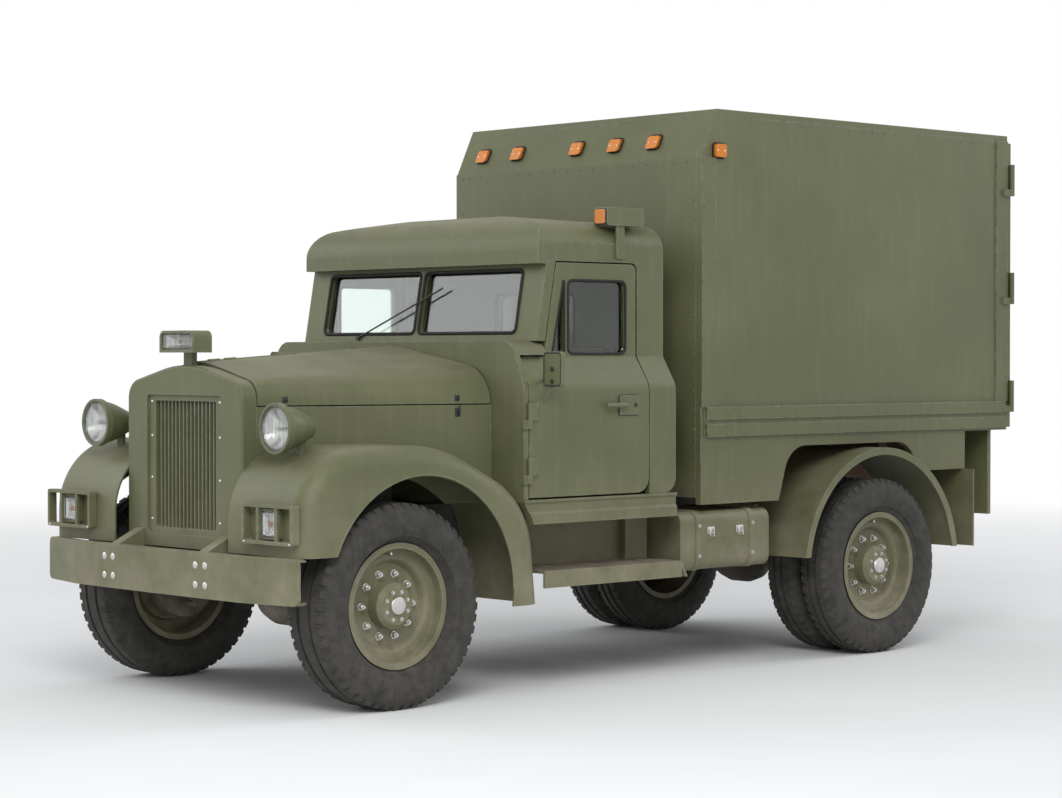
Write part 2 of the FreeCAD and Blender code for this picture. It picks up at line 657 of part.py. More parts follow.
def rail():
    reach, flange, web = S.rail_reach, S.rail_reach - S.rail_flange, S.rail_web
    return prism("XZ", [
        (reach, S.rail_low), (reach, S.rail_high), (flange, S.rail_high), (flange, S.rail_high - web),
        (reach - web, S.rail_high - web), (reach - web, S.rail_low + web), (flange, S.rail_low + web),
        (flange, S.rail_low),
    ], S.rail_front, S.rail_rear)


def cross_member(place):
    """A channel across the frame, open to the rear."""
    reach, half = S.rail_reach - S.rail_web, S.cross_width / 2
    low = (S.rail_low + S.rail_high - S.cross_depth) / 2
    whole = block((-reach, reach), (place - half, place + half), (low, low + S.cross_depth))
    hollow = block((-reach + S.cross_wall, reach - S.cross_wall), (place - half + S.cross_wall,
                   place + half + S.overrun), (low + S.cross_wall, low + S.cross_depth - S.cross_wall))
    return cut(whole, hollow)


def chassis_frame():
    half = S.cross_width / 2
    places = [S.shell_back + S.core_depth + half + S.running_gap, S.transfer_front - S.cross_width,
              S.transfer_rear + S.cross_width, S.side_box_rear + S.cross_width,
              S.wheelbase + S.spring_half, S.rail_rear - half]
    left = rail()
    node("chassis_frame", fuse(left, mirrored(left), *[cross_member(place) for place in places]))


def horn_profile(margin):
    """Side outline of a horn that drops from the rail's end to the bumper, grown upwards by a margin."""
    tip, root = S.bumper_face + S.bumper_wall / 2, S.rail_front - S.seat + margin
    return [(root, S.rail_low), (root, S.rail_high + margin), (S.shell_back, S.rail_high + margin),
            (S.shell_front - margin, S.horn_high + margin), (tip, S.horn_tip_high), (tip, S.horn_tip_low),
            (S.horn_bend, S.rail_low)]


BUMPER_BEND_SHARE, BUMPER_DROP_SHARE = 0.66, 0.125


def bumper():
    """A bumper that sweeps back at its ends, with a lip along each edge, on the frame's two horns."""
    half, face, sweep = S.bumper_half, S.bumper_face, S.bumper_sweep
    inner_face = face + S.bumper_wall

    def plan(front, depth):
        bend, drop = half * BUMPER_BEND_SHARE, sweep * BUMPER_DROP_SHARE
        return [(-half, face + sweep), (-bend, front + drop), (0, front), (bend, front + drop),
                (half, face + sweep), (half, depth + sweep), (bend, depth + drop), (0, depth),
                (-bend, depth + drop), (-half, depth + sweep)]

    skin = prism("XY", plan(face, inner_face), S.bumper_low, S.bumper_high)
    lips = [prism("XY", plan(face, face + S.bumper_lip), start, start + S.bumper_wall)
            for start in (S.bumper_low, S.bumper_high - S.bumper_wall)]
    corners = prism("XZ", rectangle(-half, half, S.bumper_low, S.bumper_high, S.bumper_corner),
                    face - S.overrun, face + sweep + S.bumper_lip + S.overrun)
    horn = prism("YZ", horn_profile(as_size(0)), S.rail_reach - S.rail_flange, S.rail_reach)
    node("front_bumper", fuse(common(fuse(skin, *lips), corners), horn, mirrored(horn)))


def engine():
    body = block((-S.engine_half, S.engine_half), (S.engine_front, S.engine_rear),
                 (S.engine_low, S.engine_high))
    gearbox = block((-S.gearbox_half, S.gearbox_half), (S.engine_rear, S.gearbox_rear),
                    (S.gearbox_low, S.gearbox_high))
    node("engine_block", fuse(body, gearbox))


def driveline():
    case = prism("YZ", rectangle(S.transfer_front, S.transfer_rear, S.transfer_low, S.transfer_high,
                                 S.transfer_round), -S.transfer_half, S.transfer_half)
    middle = (S.transfer_low + S.transfer_high) / 2
    link_high = S.gearbox_low + S.shaft_radius + S.overrun / 2
    link_shaft = link((0, S.gearbox_rear + S.seat, link_high), (0, S.transfer_front, link_high),
                      S.shaft_radius)
    rear_shaft = link((0, S.transfer_rear - S.overrun, middle - S.overrun),
                      (0, S.wheelbase - S.differential_radius - S.shaft_gap, AXLE), S.shaft_radius)
    front_shaft = link((S.differential_offset, S.transfer_front + S.overrun, middle - S.overrun * 2),
                       (S.differential_offset, S.differential_radius + S.shaft_gap, AXLE), S.shaft_radius)
    x = -S.silencer_reach
    drum = rod("y", (x, S.pipe_high), S.silencer_radius, S.silencer_front, S.silencer_rear)
    rise = rod("z", (x, S.pipe_front), S.pipe_radius, S.pipe_high, S.engine_low - S.seat)
    run = rod("y", (x, S.pipe_high), S.pipe_radius, S.pipe_front, S.skirt_rear)
    tail = rod("x", (S.skirt_rear, S.pipe_high), S.pipe_radius, -S.pipe_end, x)
    turns = [ball((x, place, S.pipe_high), S.pipe_radius) for place in (S.pipe_front, S.skirt_rear)]
    shafts = fuse(case, link_shaft, rear_shaft, front_shaft)
    node("driveline", group(shafts, fuse(drum, rise, run, tail, *turns)))


chassis_frame()
bumper()
engine()
driveline()

# Radiator shell, grille and core


def shell_corners(half, low, crown, margin=0):
    return [(-half, low), (half, low), (half, S.shell_shoulder - margin, S.shell_corner),
            (0, crown, S.shell_crown_round), (-half, S.shell_shoulder - margin, S.shell_corner)]


def radiator():
    outer = prism("XZ", shell_corners(S.shell_half, S.shell_low, S.shell_crown), S.shell_front, S.shell_back)
    mouth = rectangle(-S.mouth_half, S.mouth_half, S.mouth_low, S.mouth_high, S.mouth_corner)
    opening = prism("XZ", mouth, S.shell_front - S.overrun, S.shell_back + S.overrun)

    def on_front(edge):
        in_front = edge.BoundBox.YMax < S.shell_front.value + S.seat.value
        return in_front and edge.BoundBox.ZMax > S.shell_low.value + S.overrun.value

    notch = prism("YZ", horn_profile(S.seat), S.rail_reach - S.rail_flange - S.seat, S.rail_reach + S.seat)
    shell = cut(rounded(outer, S.shell_edge, on_front), opening, notch, mirrored(notch))
    node("radiator_shell", shell)

    start = S.shell_front + S.grille_setback
    end = start + S.grille_depth
    edge = S.mouth_corner
    frame = cut(prism("XZ", mouth, start, end),
                prism("XZ", rectangle(-S.mouth_half + S.grille_frame, S.mouth_half - S.grille_frame,
                                      S.mouth_low + S.grille_frame / 2, S.mouth_high - S.grille_frame / 2,
                                      edge / 2), start - S.overrun, end + S.overrun))
    bay = (S.mouth_half - S.grille_frame) * 2
    pitch = bay / (S.slat_count + 1)
    slats = []
    for count in range(1, int(S.slat_count.value) + 1):
        middle = -S.mouth_half + S.grille_frame + pitch * count
        slats.append(block((middle - S.slat_width / 2, middle + S.slat_width / 2),
                           (start + S.slat_width, end - S.slat_width / 2),
                           (S.mouth_low + S.grille_frame / 3, S.mouth_high - S.grille_frame / 3)))
    node("radiator_grille", fuse(frame, *slats))
    core = block((-S.mouth_half - S.core_margin, S.mouth_half + S.core_margin),
                 (S.shell_back, S.shell_back + S.core_depth), (S.mouth_low - S.core_margin,
                                                               S.mouth_high + S.core_margin))
    node("radiator_core", group(core))


radiator()

# Hood


def hood_section(half, shoulder, crown, bend, place, margin):
    """One end of the hood's section, inside the skin by a margin."""
    foot = S.hood_foot - margin * 2
    return outline("XZ", [(-half + margin, foot), (half - margin, foot),
                          (half - margin, shoulder - margin, bend - margin),
                          (0, crown - margin, S.hood_crown_round),
                          (-half + margin, shoulder - margin, bend - margin)], place)


def hood_volume(margin=0):
    margin = as_size(margin)
    return loft(hood_section(S.shell_half, S.hood_front_shoulder, S.hood_front_crown, S.hood_front_round,
                             S.shell_back, margin),
                hood_section(S.hood_rear_half, S.hood_rear_shoulder, S.hood_rear_crown, S.hood_rear_round,
                             S.hood_rear, margin))


LEFT_KNUCKLE_SHARES = (0.08, 0.48, 0.9)
RIGHT_KNUCKLE_SHARES = (0.16, 0.4, 0.82)


def hinge_place(share):
    """A point on the hood's hinge line, a share of the way from the shell to the cowl."""
    return (as_size(0), S.shell_back + (S.hood_rear - S.shell_back) * share,
            S.hinge_front_high + (S.hinge_rear_high - S.hinge_front_high) * share)


def hood_knuckles(side, shares):
    """Sleeves round the hinge rod, each with a tab to its lid."""
    pieces = []
    for share in shares:
        span = (S.knuckle_length / (S.hood_rear - S.shell_back)) / 2
        start, end = hinge_place(share - span), hinge_place(share + span)
        before, after = hinge_place(share - span * 2), hinge_place(share + span * 2)
        middle = hinge_place(share)
        near, far = side * S.hinge_radius, side * (S.hinge_set + S.hood_wall)
        low_x, high_x = (near, far) if side > 0 else (far, near)
        tab = block((low_x, high_x), (start[1], end[1]),
                    (middle[2] - S.hood_wall / 2, middle[2] + S.hood_wall / 3))
        sleeve = link(start, end, S.hinge_radius + S.knuckle_wall)
        pieces.append(cut(fuse(sleeve, tab), link(before, after, S.hinge_radius + S.shaft_clearance)))
    return pieces


def hood():
    skin = cut(hood_volume(), hood_volume(S.hood_wall))
    below = block((0, S.cab_half), (S.shell_back + S.seat, S.hood_rear), (S.hood_foot, S.hood_split))
    arch = rod("x", (S.arch_centre, S.arch_centre_high), S.arch_radius, 0, S.cab_half)
    node("hood_sides", pair(cut(common(skin, below), arch)))
    above = block((S.hinge_set, S.cab_half), (S.shell_back + S.lid_gap, S.hood_rear - S.lid_gap),
                  (S.hood_split + S.lid_gap, S.hood_rear_crown))
    lid = common(skin, above)
    node("hood_left", fuse(lid, *hood_knuckles(1, LEFT_KNUCKLE_SHARES)))
    node("hood_right", fuse(mirrored(lid), *hood_knuckles(-1, RIGHT_KNUCKLE_SHARES)))


hood()

# Front fenders


def fender_profile(margin, low):
    """Side outline of a fender, inside its outer face by a margin, closed along its foot."""
    front, rear, top = S.fender_front + margin, S.fender_rear - margin, S.fender_top - margin
    return [(front, low), (front, top, S.fender_front_round - margin),
            (S.fender_top_break, top, S.fender_top_round - margin),
            (S.fender_shoulder - margin, S.fender_shoulder_high - margin / 2,
             S.fender_shoulder_round - margin), (rear, low)]


def fender_crest(face):
    """A test for the edges at the top of a fender's outer face."""

    def on_crest(edge):
        outside = edge.BoundBox.XMin > face.value - S.seat.value
        return outside and edge.BoundBox.ZMax > S.fender_rear_low.value + S.overrun.value

    return on_crest


def fender():
    inner, outer, wall = S.shell_half + S.seat, S.fender_outer, S.fender_wall
    whole = prism("YZ", fender_profile(as_size(0), S.fender_rear_low), inner, outer)
    whole = rounded(whole, S.fender_roll, fender_crest(outer))
    hollow = prism("YZ", fender_profile(wall, S.fender_rear_low - S.overrun), inner - S.overrun, outer - wall)
    hollow = rounded(hollow, S.fender_roll - wall, fender_crest(outer - wall))
    arch = rod("x", (S.arch_centre, S.arch_centre_high), S.arch_radius, inner - S.overrun, outer + S.overrun)
    foot = block((inner - S.overrun, outer + S.overrun), (S.fender_front - S.overrun, S.arch_centre),
                 (S.fender_rear_low - S.overrun, S.fender_front_low))
    low_arch = block((inner - S.overrun, outer + S.overrun),
                     (S.arch_centre, S.arch_centre + S.arch_radius - S.arch_step),
                     (S.fender_rear_low - S.overrun, S.arch_centre_high))
    left = cut(whole, hollow, arch, foot, low_arch, hood_volume())
    node("fender_left", left)
    node("fender_right", mirrored(left))


fender()

# Lamps


def headlamp():
    """A hollow bowl on a stem that stands on the fender, with its lens on a ledge in front."""
    x, front, radius = S.headlamp_reach, S.headlamp_front, S.headlamp_radius
    bezel, wall = S.headlamp_rim, S.lens_wall
    pane = radius - bezel
    bowl = turned_body("bowl", [
        (S.headlamp_recess, 0), (S.headlamp_recess, S.headlamp_base), (wall * 2, pane - S.lens_ledge),
        (wall, pane - S.lens_ledge), (wall, pane), (-wall, pane), (-wall, radius), (bezel * 2, radius),
        (bezel * 2, radius - wall), (S.headlamp_depth / 2, radius - bezel * 2, radius),
        (S.headlamp_depth, S.headlamp_back_radius), (S.headlamp_depth, 0)])
    bowl.Placement = FreeCAD.Placement(FreeCAD.Vector(), FreeCAD.Rotation(Z_AXIS, 90))
    for axis, value in zip("xyz", (x, front, S.headlamp_high)):
        bind(bowl, f"Placement.Base.{axis}", value)
    stem_place = front + S.headlamp_depth - S.headlamp_back_radius
    stem = cut(rod("z", (x, stem_place), S.headlamp_stem, S.fender_front_low, S.headlamp_high),
               prism("YZ", fender_profile(as_size(0), S.fender_rear_low), S.shell_half, S.fender_outer))
    lens = rod("y", (x, S.headlamp_high), pane - S.seat, front - wall / 2, front + wall - S.seat)
    return fuse(bowl, stem), lens


def fender_lamp():
    """A square lamp in a guard of bars on the fender's front."""
    middle, half, bar = S.cluster_reach, S.cluster_half, S.cluster_bar
    face = S.fender_front
    low, high = S.cluster_low, S.cluster_high
    ring = cut(prism("XZ", rectangle(middle - half, middle + half, low, high, S.cluster_round),
                     face - S.cluster_depth, face - S.seat),
               prism("XZ", rectangle(middle - half + bar, middle + half - bar, low + bar, high - bar,
                                     S.cluster_round / 2), face - S.cluster_depth - S.overrun, face))
    square = S.cluster_lamp / 2
    centre = (low + high) / 2
    lamp = prism("XZ", rectangle(middle - square, middle + square, centre - square, centre + square,
                                 S.cluster_round), face - S.cluster_depth + bar, face - S.seat)
    bars = [block((middle + sign * square - bar / 2, middle + sign * square + bar / 2),
                  (face - S.cluster_depth, face - S.cluster_depth + bar), (low + bar / 2, high - bar / 2))
            for sign in (-1, 1)]
    front, inner = face - S.cluster_depth, square - bar / 2

    def pane(margin, start, end):
        half_pane = inner - margin
        return prism("XZ", rectangle(middle - half_pane, middle + half_pane, centre - half_pane,
                                     centre + half_pane, S.cluster_round / 2), start, end)

    seat = front + bar + S.lens_wall
    recess = pane(as_size(0), front, seat)
    bowl = pane(S.lens_ledge, seat - S.overrun / 2, face - S.lens_wall)
    lens = pane(S.seat, front + bar - S.lens_wall / 2, seat - S.seat)
    return cut(fuse(ring, lamp, *bars), recess, bowl), lens


def lamps():
    bowl, bowl_lens = headlamp()
    cluster, cluster_lens = fender_lamp()
    node("headlamps", pair(bowl))
    node("fender_lamps", pair(cluster))

    half, low, high = S.top_lamp_half, S.top_lamp_low, S.top_lamp_high
    middle = (S.shell_front + S.shell_back) / 2
    front = S.shell_front - S.top_lamp_lead
    rear = front + S.top_lamp_depth
    face = [(-half, low), (half, low), (half, high, S.top_lamp_round), (-half, high, S.top_lamp_round)]
    lip = S.top_lamp_lip
    opening = rectangle(-half + lip, half - lip, low + lip, high - lip, lip)
    ledge = lip + S.lens_ledge
    bowl = rectangle(-half + ledge, half - ledge, low + ledge, high - ledge, lip)
    housing = cut(prism("XZ", face, front, rear), prism("XZ", opening, front - S.overrun, front + lip),
                  prism("XZ", bowl, front, front + S.top_lamp_recess))
    stem = S.top_lamp_stem / 2
    shell = prism("XZ", shell_corners(S.shell_half, S.shell_low, S.shell_crown), S.shell_front, S.shell_back)
    post = block((-stem, stem), (middle - stem / 2, middle + stem / 2), (S.shell_shoulder, low + lip))
    post = cut(post, shell)
    top_lens = prism("XZ", rectangle(-half + lip + S.seat, half - lip - S.seat, low + lip + S.seat,
                                     high - lip - S.seat, lip), front + lip / 2, front + lip - S.seat)

    x, side = S.roof_lamp_reach, S.roof_lamp_half
    body = prism("YZ", rectangle(S.roof_lamp_front, S.roof_lamp_rear, S.roof_lamp_low, S.roof_lamp_high,
                                 S.roof_lamp_round), x - side, x + side)
    face = S.cab_upper_half + S.seat
    bracket = block((face, face + S.roof_stem_wall), (S.roof_stem_front, S.roof_stem_rear),
                    (S.roof_stem_low, S.roof_lamp_low + S.roof_lamp_round))
    foot = (S.roof_stem_front + S.roof_stem_rear) / 2
    shelf = block((x, face + S.roof_stem_wall), (foot - S.roof_stem_wall * 2, foot + S.roof_stem_wall * 2),
                  (S.roof_lamp_low - S.roof_stem_wall, S.roof_lamp_low + S.roof_stem_wall))
    node("post_lamps", group(fuse(housing, post), fuse(body, bracket, shelf)))
    node("lamp_lenses", group(pair(bowl_lens), pair(cluster_lens), top_lens))


lamps()

# Cab


def cab_section(margin, low, high):
    """The cab's section: upright sides, drawn in at the belt, inside the outer face by a margin."""
    wide, narrow = S.cab_half - margin, S.cab_upper_half - margin
    return [(-wide, low), (wide, low), (wide, S.belt_low, S.cab_round), (narrow, S.belt_high),
            (narrow, high), (-narrow, high), (-narrow, S.belt_high), (-wide, S.belt_low, S.cab_round)]


def cab_walls(start, end, low, high):
    """Both side walls of the cab between two places along the truck."""
    return cut(prism("XZ", cab_section(as_size(0), low, high), start, end),
               prism("XZ", cab_section(S.cab_wall, low - S.overrun, high + S.overrun), start - S.overrun,
                     end + S.overrun))


def cowl_section(margin, low):
    half, top = S.cab_half - margin, S.cab_upper_half - margin
    return [(-half, low), (half, low), (half, S.belt_low, S.cowl_round),
            (top, S.cowl_top - margin, S.cab_round),
            (-top, S.cowl_top - margin, S.cab_round), (-half, S.belt_low, S.cowl_round)]


def pillar_edge(margin_front, high):
    """The place of the slanted pillar edge at a height, moved to the front by a margin."""
    share = (high - S.belt_high) / (S.door_high - S.belt_high)
    return S.pillar_low_edge + (S.pillar_high_edge - S.pillar_low_edge) * share - margin_front


def slanted(margin_front, depth, low, high):
    """Side outline of a slab that follows the windshield's slope."""
    return [(pillar_edge(margin_front + depth, low), low), (pillar_edge(margin_front, low), low),
            (pillar_edge(margin_front, high), high), (pillar_edge(margin_front + depth, high), high)]


def cowl():
    post = S.door_front - S.door_gap
    wall = prism("XZ", cowl_section(as_size(0), S.cab_low), S.cowl_front, post)
    deck_end = pillar_edge(S.door_gap, S.belt_high)
    deck = cut(prism("XZ", cowl_section(as_size(0), S.cab_low), post, deck_end),
               prism("XZ", cowl_section(S.deck_wall, S.cab_low - S.overrun), post, deck_end + S.overrun),
               block((-S.cab_half, S.cab_half), (post, deck_end + S.overrun),
                     (S.cab_low - S.overrun, S.belt_high + S.door_gap)))
    rod_share = (S.cowl_front + S.cowl_hold - S.shell_back) / (S.hood_rear - S.shell_back)
    hinge_rod = link(hinge_place(as_size(0)), hinge_place(rod_share), S.hinge_radius)
    knuckles = []
    hinge_x, hinge_y = S.cab_half + S.door_hinge_set, S.door_front - S.door_gap
    for low in (S.door_hinge_low, S.door_hinge_high):
        start, end = low - S.door_hinge_length / 2, low - S.seat
        barrel = rod("z", (hinge_x, hinge_y), S.door_hinge_radius, start, end)
        leaf = block((S.cab_half - S.handle_base / 2, hinge_x),
                     (hinge_y - S.door_hinge_length / 2, hinge_y), (start, end))
        knuckles += [barrel, leaf]
    one = fuse(*knuckles)
    node("cowl", fuse(wall, deck, hinge_rod, one, mirrored(one)))


def windshield():
    low, high = S.cowl_top + S.seat, S.screen_high
    depth = S.pillar_depth
    half = S.cab_upper_half
    slab = prism("YZ", slanted(S.door_gap, depth, low, high), -half, half)
    near, far = S.screen_bar / 2, S.screen_half
    reach = (pillar_edge(S.door_gap + depth * 2, low), pillar_edge(-depth, high))
    pane = rectangle(near, far, low + S.screen_margin, high - S.screen_margin, S.screen_corner)
    opening = prism("XZ", pane, *reach)
    node("windshield_frame", cut(slab, opening, mirrored(opening)))
    sheet_glass = prism("YZ", slanted(S.door_gap + depth / 2, S.glass_wall, low, high), -half, half)
    front_pane = common(sheet_glass, opening)

    rear_face = S.cab_rear - S.cab_wall / 2
    rear_pane = prism("XZ", rear_window_corners(), rear_face - S.glass_wall / 2, rear_face + S.glass_wall / 2)
    node("cab_glass", group(front_pane, mirrored(front_pane), rear_pane))

    outer = S.door_gap + depth
    foot_place = pillar_edge(outer + S.wiper_depth, low + S.screen_margin)
    blade_low, blade_high = low + S.screen_margin / 2, high - S.screen_margin * 3
    wiper_start, wiper_end = -S.wiper_start, S.wiper_end
    arm = link((wiper_start, pillar_edge(outer + S.wiper_depth, blade_low), blade_low),
               (wiper_end, pillar_edge(outer + S.wiper_depth, blade_high), blade_high), S.wiper_depth / 2)
    boss = rod("y", (wiper_start, blade_low), S.wiper_width,
               foot_place - S.wiper_depth, foot_place + S.wiper_depth)
    slope_cut = prism("YZ", slanted(S.door_gap, depth, low - S.overrun, high), -half, half)
    node("wiper", cut(fuse(arm, boss), slope_cut))


def rear_window_corners():
    return rectangle(-S.rear_window_half, S.rear_window_half, S.rear_window_low, S.rear_window_high,
                     S.rear_window_corner)


def cab_rear():
    gap, top = S.door_gap, S.cab_top
    start = S.pillar_high_edge
    sides = cab_walls(start, S.cab_rear, S.cab_low, top)
    shape = prism("YZ", [(start, S.cab_low), (S.cab_rear, S.cab_low, S.cab_corner), (S.cab_rear, top),
                         (start, top)], -S.cab_half, S.cab_half)
    doorway = prism("YZ", [(start - S.overrun, S.cab_low - S.overrun),
                           (S.door_rear + gap, S.cab_low - S.overrun),
                           (S.door_rear + gap, S.door_high + gap, S.door_top_corner),
                           (start - S.overrun, S.door_high + gap)],
                    -S.cab_half - S.overrun, S.cab_half + S.overrun)
    wall = prism("XZ", cab_section(S.cab_wall, S.cab_low, top), S.cab_rear - S.cab_wall, S.cab_rear)
    window = prism("XZ", rear_window_corners(), S.cab_rear - S.cab_wall - S.overrun, S.cab_rear + S.overrun)
    node("cab_rear_wall", cut(fuse(cut(common(sides, shape), doorway), wall), window))


def cab_roof():
    """A pressed roof: its side and end outlines crossed, hollow below, with a brow over the windshield."""
    front, rear, top = S.roof_front, S.cab_rear, S.cab_top + S.seat
    step = S.pillar_high_edge - S.seat
    header = S.screen_high + S.seat

    def side(margin, low):
        return [(front + margin, S.roof_brow_high - margin, S.roof_front_round - margin),
                (S.roof_middle, S.roof_middle_high - margin, S.roof_middle_round),
                (rear - margin, S.roof_back_high - margin, S.roof_rear_round - margin), (rear - margin, low)]

    brow_rear = pillar_edge(S.door_gap + S.pillar_depth, S.roof_brow_low) - S.seat
    outer = prism("YZ", side(as_size(0), top) + [(step, top), (step, header), (brow_rear, header),
                                                 (brow_rear, S.roof_brow_low), (front, S.roof_brow_low)],
                  -S.cab_upper_half, S.cab_upper_half)

    def across(margin, low):
        half = S.cab_upper_half - margin
        return [(-half, low), (half, low), (half, S.roof_side_high - margin, S.roof_side_round - margin),
                (0, S.roof_middle_high + S.roof_shell - margin, S.roof_top_round),
                (-half, S.roof_side_high - margin, S.roof_side_round - margin)]

    crown = prism("XZ", across(as_size(0), S.roof_brow_low - S.overrun), front - S.overrun, rear + S.overrun)
    shell = S.roof_shell
    hollow_side = prism("YZ", side(shell, top - S.overrun) + [(front + shell, top - S.overrun)],
                        -S.cab_upper_half, S.cab_upper_half)
    hollow_across = prism("XZ", across(shell, top - S.overrun), front, rear)
    node("cab_roof", cut(common(outer, crown), common(hollow_side, hollow_across)))


def cab_floor():
    """The floor with the sill panels below the doors and the riser that carries the seats."""
    inner = S.cab_half - S.cab_wall
    low, high = S.rail_high + S.seat, S.cab_low - S.seat
    start = S.cowl_front
    floor = block((-S.cab_half, S.cab_half), (start, S.cab_rear), (low, high))
    groove = (S.sill_low + high) / 2
    mould = S.sill_moulding
    face, raised = S.cab_half, S.cab_half + mould
    sill = prism("XZ", [(inner, S.sill_low), (raised, S.sill_low), (raised, groove - mould), (face, groove),
                        (face, high - S.sill_groove), (raised, high - S.sill_groove / 2), (raised, high),
                        (inner, high)], start, S.cab_rear)
    riser = block((-S.seat_half, S.seat_half), (S.seat_front, S.seat_rear), (low, S.riser_high))
    fender_clear = prism("YZ", fender_profile(-S.running_gap, S.fender_rear_low - S.overrun),
                         0, S.cab_half + S.overrun)
    clear = fuse(fender_clear, mirrored(fender_clear))
    node("cab_floor", cut(fuse(floor, sill, mirrored(sill), riser), clear))


def seats():
    """A driver's seat and a double seat; each has a cushion and a leaning back."""
    split = S.wheel_reach - S.wheel_ring_radius
    spans = ((split + S.wheel_tilt, S.seat_half - S.cushion_inset), (-S.seat_half + S.cushion_inset, split))
    pieces = []
    back, base = S.seat_rear - S.back_depth, S.riser_high + S.seat
    foot, head = back + S.seat_gap, back + S.back_lean
    cushion = rectangle(S.seat_front - S.cushion_inset, back, base, S.cushion_high, S.cushion_round)
    for low_x, high_x in spans:
        pieces.append(prism("YZ", cushion, low_x, high_x))
        pieces.append(prism("YZ", [(foot, base), (foot + S.back_depth, base),
                                   (head + S.back_depth - S.cushion_inset, S.back_high, S.cushion_round),
                                   (head, S.back_high, S.cushion_round)], low_x, high_x))
    node("seats", group(*pieces))


def controls():
    face = S.door_front - S.door_gap + S.seat
    inner = S.cab_upper_half - S.cab_wall * 2
    panel = prism("YZ", [(face, S.dash_low), (face + S.dash_depth, S.dash_low + S.dash_round),
                         (face + S.dash_depth, S.dash_high - S.dash_round, S.dash_round),
                         (face, S.dash_high)], -inner, inner)
    node("dashboard", panel)
    tilt = math.radians(S.wheel_tilt.value)
    rise, run = math.sin(tilt), math.cos(tilt)
    x, place, high = S.wheel_reach, S.wheel_place, S.wheel_high
    panel_rear = face + S.dash_depth
    foot_high = high - (place - panel_rear) * rise / run
    column = link((x, panel_rear, foot_high), (x, place, high), S.column_radius)
    column = cut(column, block((x - S.column_radius * 2, x + S.column_radius * 2),
                               (S.cowl_front, panel_rear + S.seat), (S.cab_low, S.cowl_top)))
    grip, radius = S.wheel_grip_radius, S.wheel_ring_radius
    ring = turned_body("ring", [(-grip, radius - grip / 2), (-grip, radius + grip / 2), (0, radius + grip),
                                (grip, radius + grip / 2), (grip, radius - grip / 2), (0, radius - grip)])
    ring.Placement = FreeCAD.Placement(FreeCAD.Vector(), FreeCAD.Rotation(Z_AXIS, 90).multiply(
        FreeCAD.Rotation(Y_AXIS, -S.wheel_tilt.value)))
    for axis, value in zip("xyz", (x, place, high)):
        bind(ring, f"Placement.Base.{axis}", value)
    spokes = []
    for count in range(int(S.spoke_count.value)):
        angle = math.pi / 2 + math.tau * count / S.spoke_count.value
        across, up = S.wheel_ring_radius * math.cos(angle), S.wheel_ring_radius * math.sin(angle)
        rim_end = (x + across, place - up * rise, high + up * run)
        spokes.append(link((x, place, high), rim_end, S.spoke_radius))
    hub_back, hub_up = S.wheel_hub_radius * run / 2, S.wheel_hub_radius * rise / 2
    hub = link((x, place - hub_back, high - hub_up), (x, place + hub_back, high + hub_up), S.wheel_hub_radius)
    node("steering_wheel", fuse(column, ring, hub, *spokes))


cowl()
windshield()
cab_rear()
cab_roof()
cab_floor()
seats()
controls()

# Doors


